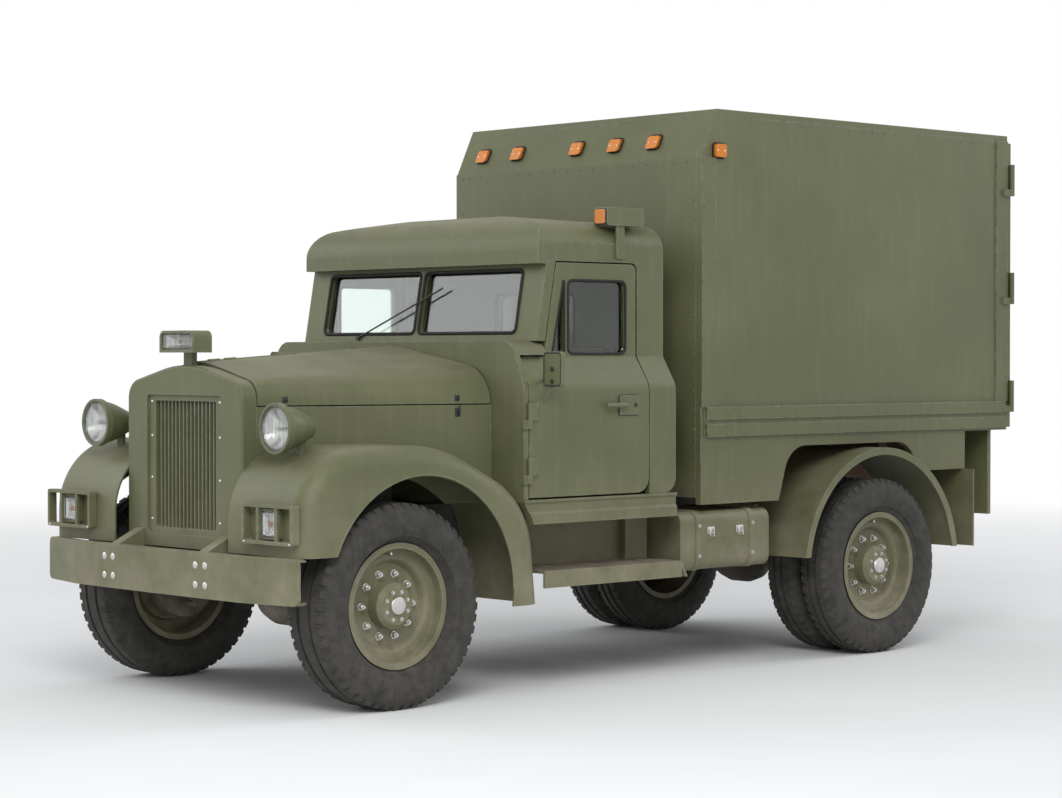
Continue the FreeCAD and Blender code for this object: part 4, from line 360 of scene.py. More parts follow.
def rubber(name, level, dust=0.42):
    tree, shader, place = start_finish(name)
    mottled = blend_colour(tree, ramp(tree, noise(tree, place, 26.0, 6.0, 0.7), 0.35, 0.7), grey(level),
                           grey(level * 1.7))
    dusty = use_group(tree, "road_dust", Vector=place, Color=mottled, Roughness=0.72, Reach=2.4, Amount=dust,
                      Dust=ROAD_DIRT, Grain=16.0)
    feed(tree, shader, Base_Color=dusty["Color"], Roughness=dusty["Roughness"], Specular_IOR_Level=0.3,
         Normal=bumped(tree, noise(tree, place, 180.0, 3.0, 0.6), 0.3, 0.001))


def clear_glass(name, colour, ribs=0.0):
    """Glass with faint smears, and with upright ribs on a lamp's lens."""
    tree, shader, place = start_finish(name)
    smear = ramp(tree, noise(tree, place, 3.0, 5.0, 0.6), 0.4, 0.8, 0.02, 0.1)
    feed(tree, shader, Base_Color=colour, Roughness=smear, Transmission_Weight=1.0, IOR=1.45,
         Specular_IOR_Level=0.3)
    if ribs:
        feed(tree, shader, Normal=bumped(tree, wave(tree, place, "X", ribs), 0.6, 0.003))


def metal(name, colour, roughness, scratch=0.08):
    tree, shader, place = start_finish(name)
    cloud = noise(tree, place, 30.0, 5.0, 0.6)
    tint = blend_colour(tree, ramp(tree, cloud, 0.4, 0.8, 0.0, 0.4), colour, shade(colour, 0.7))
    feed(tree, shader, Base_Color=tint, Metallic=1.0,
         Roughness=ramp(tree, cloud, 0.3, 0.7, roughness, roughness + scratch))


def lamp_plastic(name, colour):
    tree, shader, place = start_finish(name)
    cloud = ramp(tree, noise(tree, place, 6.0), 0.3, 0.7, 0.0, 0.5)
    feed(tree, shader, Base_Color=blend_colour(tree, cloud, colour, shade(colour, 0.75)),
         Roughness=ramp(tree, noise(tree, place, 12.0), 0.3, 0.7, 0.08, 0.2),
         Normal=bumped(tree, wave(tree, place, "Z", 55.0), 0.35, 0.002), Transmission_Weight=0.2,
         Specular_IOR_Level=0.3, Coat_Weight=0.12)


def canvas(name, colour, pale):
    tree, shader, place = start_finish(name)
    woven = use_group(tree, "weave", Vector=place, Pitch=120.0)
    feed(tree, shader, Base_Color=blend_colour(tree, ramp(tree, woven["Tone"], 0.4, 1.0), colour, pale),
         Roughness=ramp(tree, woven["Tone"], 0.3, 1.0, 0.78, 0.92),
         Normal=bumped(tree, woven["Height"], 0.5, 0.0012), Sheen_Weight=0.1, Sheen_Roughness=0.5)


def boards(name, colour, pale):
    """Planks that run along the truck, with grain and dark joints."""
    tree, shader, place = start_finish(name)
    across = arithmetic(tree, "DIVIDE", part_of(tree, place, "X"), PLANK_WIDTH)
    joint = arithmetic(tree, "LESS_THAN", arithmetic(tree, "FRACT", across), 0.035)
    shift = add_node(tree, "CombineXYZ")
    feed(tree, shift, Y=product(tree, arithmetic(tree, "FLOOR", across), 3.7))
    moved = combine(tree, "ADD", stretched(tree, place, (26.0, 1.6, 26.0)), shift.outputs["Vector"])
    grain = noise(tree, moved["Vector"], 2.0, 7.0, 0.65)
    tone = blend_colour(tree, ramp(tree, grain, 0.3, 0.72), colour, pale)
    feed(tree, shader, Base_Color=blend_colour(tree, joint, tone, (0.03, 0.024, 0.018, 1)),
         Roughness=ramp(tree, grain, 0.3, 0.7, 0.6, 0.82),
         Normal=bumped(tree, arithmetic(tree, "SUBTRACT", grain, joint), 0.5, 0.002))


def finned_core(name):
    tree, shader, place = start_finish(name)
    height = arithmetic(tree, "MAXIMUM", wave(tree, place, "Z", 60.0), wave(tree, place, "X", 22.0))
    # Painted shade: the colour goes near black down the grooves between the fins and paler on the fin tops,
    # following the same height as the bump.
    feed(tree, shader, Base_Color=blend_colour(tree, height, grey(0.008), (0.045, 0.045, 0.043, 1)),
         Roughness=ramp(tree, height, 0.0, 1.0, 0.8, 0.6), Normal=bumped(tree, height, 0.9, 0.004))


def floor_finish():
    """A pale floor near the truck that turns to plain white light far from it."""
    tree, shader, place = start_finish("floor")
    far = ramp(tree, combine(tree, "LENGTH", place)["Value"], 6.0, 17.0)
    tone = blend_colour(tree, ramp(tree, noise(tree, place, 0.7, 3.0), 0.3, 0.7), (0.86, 0.86, 0.855, 1),
                        (0.885, 0.885, 0.88, 1))
    feed(tree, shader, Base_Color=blend_colour(tree, far, tone, grey(0)), Roughness=0.9,
         Emission_Color=blend_colour(tree, far, grey(0), grey(1)), Emission_Strength=1.0,
         Specular_IOR_Level=0.0)


def make_finishes():
    groups["worn_paint"] = worn_paint_group()
    groups["road_dust"] = road_dust_group()
    groups["edge_wear"] = edge_wear_group()
    groups["weave"] = weave_group()
    painted("drab_paint", DRAB, FADED_DRAB, dust=0.7)
    painted("chassis_paint", (0.03, 0.03, 0.029, 1), (0.06, 0.058, 0.054, 1), PRIMER, 0.55, 0.5, 0.75, 1.1)
    painted("engine_paint", (0.09, 0.10, 0.09, 1), (0.13, 0.13, 0.115, 1), BARE_STEEL, 0.5, 0.4, 0.6)
    painted("inside_paint", (0.19, 0.20, 0.12, 1), (0.24, 0.25, 0.165, 1), BARE_STEEL, 0.45, 0.25, 0.2, 0.6)
    painted("black_plastic", grey(0.02), grey(0.035), grey(0.07), 0.42, 0.3, 0.15, 0.6, 0.0015)
    painted("dial_face", grey(0.012), grey(0.02), roughness=0.4, scuffs=0.0, dust=0.0)
    rubber("tyre_rubber", 0.020)
    rubber("seal_rubber", 0.012, 0.25)
    clear_glass("window_glass", (0.80, 0.87, 0.84, 1))
    clear_glass("lamp_glass", (0.95, 0.97, 0.97, 1), 28.0)
    lamp_plastic("amber_lens", (0.82, 0.25, 0.012, 1))
    lamp_plastic("red_lens", (0.52, 0.012, 0.01, 1))
    canvas("seat_canvas", (0.082, 0.070, 0.038, 1), (0.135, 0.118, 0.068, 1))
    canvas("seat_piping", (0.040, 0.034, 0.020, 1), (0.062, 0.054, 0.032, 1))
    boards("floor_wood", (0.115, 0.07, 0.038, 1), (0.27, 0.18, 0.105, 1))
    finned_core("core_metal")
    metal("bright_steel", (0.62, 0.61, 0.59, 1), 0.28)
    metal("mirror_glass", (0.86, 0.88, 0.9, 1), 0.03, 0.02)
    metal("reflector", (0.88, 0.88, 0.86, 1), 0.12, 0.04)
    floor_finish()


# Helpers that make pieces

SIDES = (("left", 1), ("right", -1))
surfaces = {}


def piece_from(made, name, finish, body=None, smooth=None):
    """Turn a finished bmesh into an object that carries a finish and rides on a body."""
    bmesh.ops.recalc_face_normals(made, faces=made.faces)
    if smooth is not None:
        shade_smooth(made, smooth)
    mesh = bpy.data.meshes.new(name)
    made.to_mesh(mesh)
    made.free()
    piece = bpy.data.objects.new(name, mesh)
    bpy.context.scene.collection.objects.link(piece)
    mesh.materials.append(finishes[finish])
    if body:
        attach(piece, body)
    return piece


def shade_smooth(made, angle):
    """Smooth shading with edges sharper than the angle kept crisp."""
    made.normal_update()
    limit = math.radians(angle)
    for face in made.faces:
        face.smooth = True
    for edge in made.edges:
        edge.smooth = len(edge.link_faces) == 2 and edge.calc_face_angle(math.pi) < limit


def round_edges(made, edges, offset, segments=2):
    bmesh.ops.bevel(made, geom=edges, offset=offset, segments=segments, affect="EDGES", profile=0.5,
                    material=-1)


def add_box(made, low, high, bevel=0.0, segments=2):
    """A box between two corners, its edges rounded by a bevel."""
    low, high = Vector(low), Vector(high)
    placed = Matrix.Translation((low + high) / 2) @ Matrix.Diagonal((*(high - low), 1))
    verts = bmesh.ops.create_cube(made, size=1, matrix=placed)["verts"]
    if bevel:
        round_edges(made, list({edge for vert in verts for edge in vert.link_edges}), bevel, segments)


def add_block(made, spot, half, bevel):
    """A rounded box about a spot, from half its sizes."""
    add_box(made, spot - Vector(half), spot + Vector(half), bevel)


def add_rod(made, start, end, radius, sides=16, end_radius=None, bevel=0.0):
    """A round bar between two points, tapered if its end radius differs."""
    start, end = Vector(start), Vector(end)
    run = end - start
    turn = run.to_track_quat("Z", "Y").to_matrix().to_4x4()
    verts = bmesh.ops.create_cone(made, cap_ends=True, segments=sides, radius1=radius,
                                  radius2=radius if end_radius is None else end_radius, depth=run.length,
                                  matrix=Matrix.Translation((start + end) / 2) @ turn)["verts"]
    if bevel:
        round_edges(made, [edge for edge in {edge for vert in verts for edge in vert.link_edges}
                           if any(len(face.verts) > 4 for face in edge.link_faces)], bevel)


def at(reach):
    """A place along the truck, from millimetres behind the front axle."""
    return FRONT_AXLE + reach / 1000


def screen_place(high, inset):
    """A place on the windshield's sloped frame at a height, an inset in front of the pillar's edge."""
    return at(1056 + 90 * (high * 1000 - 1785) / 505 - inset)


def seat_on(node, start, direction):
    """Where a line from the start first meets a CAD node."""
    if node not in surfaces:
        surfaces[node] = BVHTree.FromObject(nodes[node], bpy.context.evaluated_depsgraph_get())
    hit = surfaces[node].ray_cast(Vector(start), Vector(direction))[0]
    if hit is None:
        raise RuntimeError(f"{node} isn't met from {tuple(start)}")
    return hit


def rounded_loop(low, high, radius, steps=5):
    """Points round a rectangle with rounded corners."""
    points = []
    middles = ((high[0] - radius, high[1] - radius), (low[0] + radius, high[1] - radius),
               (low[0] + radius, low[1] + radius), (high[0] - radius, low[1] + radius))
    for quarter, (x, y) in enumerate(middles):
        for step in range(steps + 1):
            angle = math.radians(90 * (quarter + step / steps))
            points.append((x + radius * math.cos(angle), y + radius * math.sin(angle)))
    return points


def loop_round(middle, half, radius):
    """A rounded rectangle about its middle, from half its sizes."""
    (x, y), (wide, high) = middle, half
    return rounded_loop((x - wide, y - high), (x + wide, y + high), radius)


def add_ring(made, centre, across, other, radius, sides):
    """Points round a centre, in the plane of two directions."""
    ring = []
    for side in range(sides):
        angle = math.tau * side / sides
        ring.append(made.verts.new(centre + (across * math.cos(angle) + other * math.sin(angle)) * radius))
    return ring


def join_rings(made, near, far):
    """A band of faces between two rings of points."""
    for first in range(len(near)):
        second = (first + 1) % len(near)
        made.faces.new((near[first], near[second], far[second], far[first]))


def add_tube(made, points, radius, sides=8, closed=False):
    """Sweep a round section along a path; its ends are capped unless the path closes."""
    points = [Vector(point) for point in points]
    count, rings, across = len(points), [], None
    for index, point in enumerate(points):
        before = points[index - 1] if closed or index else point
        after = points[(index + 1) % count] if closed or index + 1 < count else point
        run = (after - before).normalized()
        across = run.orthogonal() if across is None else across - run * across.dot(run)
        across.normalize()
        rings.append(add_ring(made, point, across, run.cross(across), radius, sides))
    for near, far in zip(rings, rings[1:] + rings[:1] if closed else rings[1:]):
        join_rings(made, near, far)
    if not closed:
        made.faces.new(rings[0][::-1])
        made.faces.new(rings[-1])


def add_seal(made, points, radius):
    """A round bead along a closed loop."""
    add_tube(made, points, radius, closed=True)


def add_plate(made, points, run):
    """A flat outline given a thickness."""
    near = [made.verts.new(Vector(point)) for point in points]
    far = [made.verts.new(Vector(point) + Vector(run)) for point in points]
    made.faces.new(near)
    made.faces.new(far[::-1])
    for first in range(len(near)):
        second = (first + 1) % len(near)
        made.faces.new((near[first], far[first], far[second], near[second]))
    return near + far


def add_dome(made, centre, normal, radius, height, sides=10, rings=3):
    """A low dome on a face, such as a rivet's head or a lens."""
    centre, normal = Vector(centre), Vector(normal).normalized()
    across = normal.orthogonal().normalized()
    last = None
    for step in range(rings):
        angle = math.pi / 2 * step / rings
        ring = add_ring(made, centre + normal * height * math.sin(angle), across, normal.cross(across),
                        radius * math.cos(angle), sides)
        if last:
            join_rings(made, last, ring)
        else:
            made.faces.new(ring[::-1])
        last = ring
    crown = made.verts.new(centre + normal * height)
    for side in range(sides):
        made.faces.new((last[side], last[(side + 1) % sides], crown))


def add_turned(made, profile, centre, axis="x", sides=96):
    """Spin an open profile of (distance along the axis, radius) points round the axis."""
    before = set(made.verts)
    verts = [made.verts.new((along, radius, 0) if axis == "x" else (radius, along, 0))
             for along, radius in profile]
    edges = [made.edges.new(pair) for pair in zip(verts, verts[1:])]
    bmesh.ops.spin(made, geom=verts + edges, cent=(0, 0, 0), axis=(1, 0, 0) if axis == "x" else (0, 1, 0),
                   angle=math.tau, steps=sides, use_merge=True)
    turned = [vert for vert in made.verts if vert not in before]
    bmesh.ops.translate(made, verts=turned, vec=centre)
    return turned


def dress_cad():
    """Give every carried-over sub-part its finish."""
    for row in frame["record"]["subparts"]:
        mesh = nodes[row["node"]].data
        mesh.materials.clear()
        mesh.materials.append(finishes[row["material_slot"]])


# Tyres

TREAD_PITCHES = 52
GROOVE_DEPTH = 0.014
GROOVE_HALF = 0.0075
SHOULDER_INSET = 0.052
BEAD_RADIUS = 0.3055
TWIN_WIDTH = 0.236


def tyre_profile(width, bead_half):
    """Section of a tyre from its inner bead over the crown to its outer bead, about its own middle."""
    half, crown = width / 2, TYRE_RADIUS
    shoulder = half - SHOULDER_INSET
    points = [(-bead_half, BEAD_RADIUS), (-bead_half - 0.004, BEAD_RADIUS + 0.02), (-half + 0.026, 0.352),
              (-half + 0.014, 0.3575), (-half + 0.013, 0.3635), (-half + 0.008, 0.37), (-half, 0.428),
              (-half + 0.006, 0.467), (-half + 0.02, 0.4935), (-shoulder - 0.016, 0.507),
              (-shoulder, crown - 0.006), (-shoulder + 0.02, crown - 0.002)]
    other_side = [(-along, radius) for along, radius in points[::-1]]
    for middle in (-shoulder * 0.42, shoulder * 0.42):
        points += [(middle - GROOVE_HALF - 0.003, crown), (middle - GROOVE_HALF, crown - GROOVE_DEPTH),
                   (middle + GROOVE_HALF, crown - GROOVE_DEPTH), (middle + GROOVE_HALF + 0.003, crown)]
    return points + other_side


def add_shoulder_lugs(made, centre, width):
    """Blocks that wrap over each shoulder, one a pitch, the two sides half a pitch apart."""
    half, shoulder = width / 2, width / 2 - SHOULDER_INSET
    step = math.tau / TREAD_PITCHES
    block_half = TYRE_RADIUS * step * 0.31
    outline = ((shoulder * 0.62, 0.0105), (shoulder * 0.62, 0.0004), (shoulder + 0.012, 0.0025),
               (half - 0.022, 0.028), (half - 0.006, 0.062), (half - 0.016, 0.064), (shoulder, 0.03))
    for side in (-1, 1):
        points = [(side * along, -block_half, TYRE_RADIUS - depth) for along, depth in outline]
        for count in range(TREAD_PITCHES):
            turn = Matrix.Rotation(step * (count + (0.5 if side > 0 else 0.0)), 4, "X")
            verts = add_plate(made, points, (0, 2 * block_half, 0))
            bmesh.ops.transform(made, matrix=Matrix.Translation(centre) @ turn, verts=verts)


def make_tyres():
    """Single tyres in front and twins behind, in place of the plain ones."""
    single = (tyre_low.x + tyre_high.x) / 2
    twins = (rear_high.x - TWIN_WIDTH / 2, rear_low.x + TWIN_WIDTH / 2)
    axles = (("tyre_front", "road_tyre_front", FRONT_AXLE, (single,), tyre_high.x - tyre_low.x, 0.0917),
             ("tyre_rear", "road_tyres_rear", REAR_AXLE, twins, TWIN_WIDTH, 0.0707))
    for word, side in SIDES:
        for plain, name, place, middles, width, bead_half in axles:
            made = bmesh.new()
            for middle in middles:
                centre = (side * middle, place, AXLE_HIGH)
                add_turned(made, tyre_profile(width, bead_half), centre, sides=TREAD_PITCHES * 3)
                add_shoulder_lugs(made, centre, width)
            body = f"wheel_{plain[5]}{word[0]}"
            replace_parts(piece_from(made, f"{name}_{word}", "tyre_rubber", body, 32), f"{plain}_{word}")


# Wheel nuts, hub bolts and valves: how many, their turn, circle, size and height

DISC_NUTS = ((10, 0, 0.165, 0.0165, 0.024), (8, 0.5, 0.074, 0.009, 0.008))


def add_nut(made, centre, direction, size, height):
    """A hexagon nut with its washer and stud, set on a face that looks along the direction."""
    centre, direction = Vector(centre), Vector(direction)
    add_rod(made, centre, centre + direction * height * 0.25, size * 1.25, 20)
    add_rod(made, centre + direction * height * 0.2, centre + direction * height, size, 6, size * 0.94)
    add_rod(made, centre + direction * height * 0.9, centre + direction * height * 1.5, size * 0.5, 10)


def on_wheel(node, side, place, radius, angle):
    """A place on a wheel's outer face, from its distance to the axle and its angle."""
    start = (side * 1.3, place + radius * math.cos(angle), AXLE_HIGH + radius * math.sin(angle))
    return seat_on(node, start, (-side, 0, 0))


def make_wheel_nuts():
    """Ten nuts on each disc, eight bolts on each hub and a valve, on faces found on the CAD wheel."""
    for word, side in SIDES:
        for axle, place in (("front", FRONT_AXLE), ("rear", REAR_AXLE)):
            node = f"wheel_{axle}_{word}"
            made = bmesh.new()
            for total, shift, radius, size, height in DISC_NUTS:
                for count in range(total):
                    spot = on_wheel(node, side, place, radius, math.tau * (count + shift) / total)
                    add_nut(made, spot, (side, 0, 0), size, height)
            cap = on_wheel(node, side, place, 0.004, 0.3)
            add_rod(made, cap, cap + Vector((side * 0.012, 0, 0)), 0.05, 40, 0.044, 0.002)
            start = on_wheel(node, side, place, 0.262, 1.7)
            add_rod(made, start, start + Vector((side * 0.04, 0, 0.006)), 0.0045, 10)
            add_rod(made, start + Vector((side * 0.03, 0, 0.0045)), start + Vector((side * 0.044, 0, 0.0066)),
                    0.0065, 10)
            piece_from(made, f"wheel_nuts_{axle}_{word}", "bright_steel", f"wheel_{axle[0]}{word[0]}", 30)


# Lamps: reflectors, bulbs, lenses and gaskets

BROW_LAMP_SHARES = (-0.81, -0.51, -0.01, 0.3, 0.605)
BROW_LAMP_HIGH = 3.017
SIDE_LAMP = (at(2372), 2.950)
SMALL_LAMP_HALF = (0.0475, 0.0405)


def make_lamp_insides():
    """A bright bowl and a bulb behind each round lens, and red lenses over the tail lamps."""
    bowls, bulbs, lenses, rings = bmesh.new(), bmesh.new(), bmesh.new(), bmesh.new()
    inside = [(0.0135, 0.1035), (0.026, 0.0895), (0.040, 0.0735), (0.054, 0.0550), (0.064, 0.0370),
              (0.070, 0.014)]
    outside = [(along + 0.0012, radius - 0.0004) for along, radius in inside]
    for side in (1, -1):
        centre = Vector((side * 0.800, at(-585), 1.428))
        add_turned(bowls, inside + outside[::-1] + inside[:1], centre, "y", 48)
        add_rod(bulbs, centre + Vector((0, 0.036, 0)), centre + Vector((0, 0.066, 0)), 0.011, 20, 0.008,
                0.003)
        add_rod(bulbs, centre + Vector((0, 0.028, 0)), centre + Vector((0, 0.04, 0)), 0.017, 20, 0.011, 0.002)
        for across in (0.860, 0.710):
            spot = Vector((side * across, at(5004), 1.050))
            add_rod(rings, spot - Vector((0, 0.0425, 0)), spot + Vector((0, 0.005, 0)), 0.0655, 40, 0.0635,
                    0.002)
            add_dome(lenses, spot + Vector((0, 0.004, 0)), (0, 1, 0), 0.056, 0.014, 32, 5)
    bmesh.ops.remove_doubles(bowls, verts=bowls.verts, dist=0.00001)
    piece_from(bowls, "headlamp_bowls", "reflector", "chassis", 40)
    piece_from(bulbs, "headlamp_bulbs", "bright_steel", "chassis", 40)
    piece_from(lenses, "tail_lenses", "red_lens", "chassis", 60)
    piece_from(rings, "tail_lamp_rings", "black_plastic", "chassis", 35)


def add_dish(made, centre, half_wide, half_high, depth):
    """A shallow square bowl that opens forwards, closed by a flat back."""
    x, y, z = centre
    corner = min(half_wide, half_high) * 0.25
    rings = []
    for share, back in ((1.0, 1.0), (1.0, 0.0), (0.93, 0.5), (0.6, 0.92)):
        loop = loop_round((x, z), (half_wide * share, half_high * share), corner * share)
        rings.append([made.verts.new((u, y + depth * back, v)) for u, v in loop])
    for near, far in zip(rings, rings[1:]):
        join_rings(made, near, far)
    made.faces.new(rings[0])
    made.faces.new(rings[-1])


def make_square_lamps():
    """Bright dishes and bulbs behind the square lenses, and a lens on the roof's lamp."""
    dishes, bulbs, lenses, rims = bmesh.new(), bmesh.new(), bmesh.new(), bmesh.new()
    lamps = [((side * 0.886, at(-681.5), 0.962), 0.0565, 0.0565, 0.0148) for side in (-1, 1)]
    lamps.append(((0, at(-603), 1.863), 0.1265, 0.0335, 0.034))
    for centre, half_wide, half_high, depth in lamps:
        add_dish(dishes, centre, half_wide, half_high, depth)
        base = Vector(centre) + Vector((0, depth * 0.9, 0))
        add_dome(bulbs, base, (0, -1, 0), half_high * 0.28, depth * 0.62, 20, 5)
    face = at(1505)
    loop = loop_round((0.972, 2.550), (0.042, 0.040), 0.014)
    add_plate(lenses, [(x, face - 0.006, z) for x, z in loop], (0, 0.0065, 0))
    add_seal(rims, [(x, face - 0.002, z) for x, z in loop], 0.0045)
    piece_from(dishes, "square_lamp_dishes", "reflector", "chassis", 35)
    piece_from(bulbs, "square_lamp_bulbs", "amber_lens", "chassis", 50)
    piece_from(lenses, "roof_lamp_lens", "amber_lens", "chassis", 35)
    piece_from(rims, "roof_lamp_rim", "black_plastic", "chassis", 50)


def brow_face(high):
    """The place of the load space's leaning front at a height."""
    return at(2230 + 130 * (high * 1000 - 2910) / 277)


def make_lamp_gaskets():
    """A rubber gasket and two screws round each small lamp on the load space."""
    gaskets, screws = bmesh.new(), bmesh.new()
    screw_places = (-0.029, 0.029)
    lamps = []
    for share in BROW_LAMP_SHARES:
        x, high = 1.040 * share, BROW_LAMP_HIGH
        loop = loop_round((x, high), SMALL_LAMP_HALF, 0.019)
        spots = [(x + offset, brow_face(high) - 0.026, high) for offset in screw_places]
        lamps.append(([(u, brow_face(v) - 0.004, v) for u, v in loop], spots, (0, -0.905, 0.425)))
    for side in (-1, 1):
        place, high = SIDE_LAMP
        loop = loop_round(SIDE_LAMP, SMALL_LAMP_HALF, 0.019)
        spots = [(side * 1.0663, place + offset, high) for offset in screw_places]
        lamps.append(([(side * 1.044, y, z) for y, z in loop], spots, (side, 0, 0)))
    for loop, spots, normal in lamps:
        add_seal(gaskets, loop, 0.0065)
        for spot in spots:
            add_dome(screws, spot, normal, 0.0052, 0.0026, 12, 3)
    piece_from(gaskets, "lamp_gaskets", "seal_rubber", "chassis", 60)
    piece_from(screws, "lamp_screws", "bright_steel", "chassis", 50)


# Windows: rubber seals round each pane, the mirrors' glass and the doors' locks

MIRROR_HALF = 0.070


def make_window_seals():
    """Seals round the windshield's panes and the rear window."""
    seals = bmesh.new()
    for side in (-1, 1):
        for inset in (71, 7):
            loop = rounded_loop((0.017, 1.9123), (0.826, 2.252), 0.030)
            add_seal(seals, [(side * x, screen_place(z, inset), z) for x, z in loop], 0.0095)
    for place in (1964.5, 1919.5):
        loop = [(x, at(place), z) for x, z in rounded_loop((-0.33, 1.83), (0.33, 2.15), 0.05)]
        add_seal(seals, loop, 0.0095)
    piece_from(seals, "cab_window_seals", "seal_rubber", "chassis", 50)


def make_door_trim():
    """Seals of the window and the vent pane, the mirror's glass and rims, and the lock."""
    for word, side in SIDES:
        body = f"door_{word[0]}"
        made = bmesh.new()
        for x in (side * 0.9995, side * 0.9545):
            loop = [(x, at(y * 1000), z) for y, z in rounded_loop((1.232, 1.800), (1.668, 2.196), 0.034)]
            add_seal(made, loop, 0.008)
            vent = [(1114, 1.802), (1204, 1.802), (1204, 2.194), (1197.5, 2.194)]
            add_seal(made, [(x, at(y), z) for y, z in vent], 0.0065)
        piece_from(made, f"door_seals_{word}", "seal_rubber", body, 50)
        made = bmesh.new()
        face, back = at(969), at(939)
        middle = side * (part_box("door_left")[1].x - MIRROR_HALF)
        inset = MIRROR_HALF - 0.007
        loop = rounded_loop((middle - inset, 1.632), (middle + inset, 1.805), 0.018)
        add_plate(made, [(x, face - 0.001, z) for x, z in loop], (0, 0.0035, 0))
        piece_from(made, f"mirror_glass_{word}", "mirror_glass", body)
        made = bmesh.new()
        for place in (face + 0.001, back + 0.0005):
            add_seal(made, [(x, place, z) for x, z in loop], 0.0045)
        for high in (1.655, 1.719):
            add_rod(made, (middle, back, high), (middle, at(933), high), 0.013, 6)
        piece_from(made, f"mirror_frame_{word}", "black_plastic", body, 50)
        made = bmesh.new()
        loop = rounded_loop((at(1520) - 0.001, 1.467), (at(1672) + 0.001, 1.575), 0.011)
        add_seal(made, [(side * 1.1005, y, z) for y, z in loop], 0.004)
        lock, face = at(1640), side * 1.1125
        add_rod(made, (side * 1.109, lock, 1.521), (side * 1.1135, lock, 1.521), 0.014, 24, 0.012, 0.001)
        add_box(made, (face - 0.0015, lock - 0.0015, 1.513), (face + 0.0025, lock + 0.0015, 1.529))
        piece_from(made, f"door_lock_{word}", "black_plastic", body, 50)


# Body trim: rivets, bolts, latches, treads and beads


def rivet_run(made, start, end, pitch, normal, radius=0.0065, height=0.0035):
    """Domed rivets at an even pitch between two points."""
    start, end = Vector(start), Vector(end)
    count = max(1, round((end - start).length / pitch))
    for index in range(count + 1):
        add_dome(made, start.lerp(end, index / count), normal, radius, height)


def make_box_rivets():
    """Rows of rivets along the edges, posts and rails of the load space."""
    made = bmesh.new()
    front, rear = at(2230), at(5070)
    for side in (-1, 1):
        face, rail, post, out = side * 1.040, side * 1.062, side * 1.049, (side, 0, 0)
        rivet_run(made, (face, front + 0.20, 3.130), (face, rear - 0.14, 3.130), 0.11, out)
        for high in (1.343, 1.485):
            rivet_run(made, (rail, at(2290), high), (rail, at(5004), high), 0.14, out)
        for place in (rear - 0.106, rear - 0.014):
            rivet_run(made, (post, place, 1.54), (post, place, 3.11), 0.11, out)
        for place in (front + 0.014, front + 0.106):
            rivet_run(made, (post, place, 1.54), (post, place, 2.88), 0.11, out)
        rivet_run(made, (side * 0.985, front, 1.05), (side * 0.985, front, 2.88), 0.11, (0, -1, 0))
        rivet_run(made, (face, at(2262), 0.975), (face, at(2860), 0.975), 0.12, out)
        rivet_run(made, (side * 0.96, at(4960), 0.82), (side * 0.96, at(4960), 1.28), 0.09, (0, 1, 0))
        rivet_run(made, (side, at(2420), 3.187), (side, at(5040), 3.187), 0.13, (0, 0, 1), height=0.0)
    rivet_run(made, (-0.93, front, 2.885), (0.93, front, 2.885), 0.11, (0, -1, 0))
    rivet_run(made, (-0.9, at(4960), 1.292), (0.9, at(4960), 1.292), 0.12, (0, 1, 0))
    piece_from(made, "box_rivets", "drab_paint", "chassis", 60)


HOOD_LATCHES = (-330, 620)
BEAD_BEND = 0.612


def make_front_trim():
    """Bumper bolts, hood latches, grille screws and the rolled beads of the fenders."""
    bolts = bmesh.new()
    heads = [("front_bumper", x, high, (0.019, 0.0052, 24, 4))
             for x in (0.37, 0.45) for high in (0.635, 0.735)]
    heads += [("radiator_grille", 0.302, high, (0.008, 0.004, 16, 3)) for high in (0.93, 1.15, 1.37, 1.55)]
    heads += [("fender_lamps", x, 0.871, (0.006, 0.003, 12, 3)) for x in (0.70, 1.07)]
    for side in (-1, 1):
        for node, x, high, size in heads:
            spot = seat_on(node, (side * x, -4, high), (0, 1, 0))
            add_dome(bolts, spot, (0, -1, 0), *size)
            if node == "front_bumper":
                add_rod(bolts, spot, spot + Vector((0, 0.02, 0)), 0.01, 8)
    piece_from(bolts, "front_bolts", "bright_steel", "chassis", 50)
    for word, side in SIDES:
        made = bmesh.new()
        for place in HOOD_LATCHES:
            low = seat_on("hood_sides", (side * 1.6, at(place), 1.49), (-side, 0, 0))
            add_block(made, low, (0.004, 0.016, 0.022), 0.003)
            clasp = ((0.008, -0.012), (0.017, 0.0), (0.017, 0.03), (0.011, 0.036))
            add_tube(made, [low + Vector((side * x, 0, z)) for x, z in clasp], 0.005, 10)
        piece_from(made, f"hood_latches_{word}", "black_plastic", "chassis", 45)
        made = bmesh.new()
        for place in HOOD_LATCHES:
            high = seat_on(f"hood_{word}", (side * 1.6, at(place), 1.565), (-side, 0, 0))
            add_block(made, high, (0.004, 0.016, 0.016), 0.003)
            add_rod(made, high, high + Vector((side * 0.012, 0, -0.004)), 0.006, 12)
        piece_from(made, f"hood_catches_{word}", "black_plastic", f"hood_{word[0]}", 45)
        made = bmesh.new()
        bead = []
        for step in range(49):
            angle = math.radians(158 - 158 * step / 48)
            along, up = BEAD_BEND * math.cos(angle), BEAD_BEND * math.sin(angle)
            bead.append((side * 1.1175, at(120) + along, 0.575 + up))
        add_tube(made, bead, 0.0068)
        piece_from(made, f"fender_bead_{word}", "drab_paint", "chassis", 60)


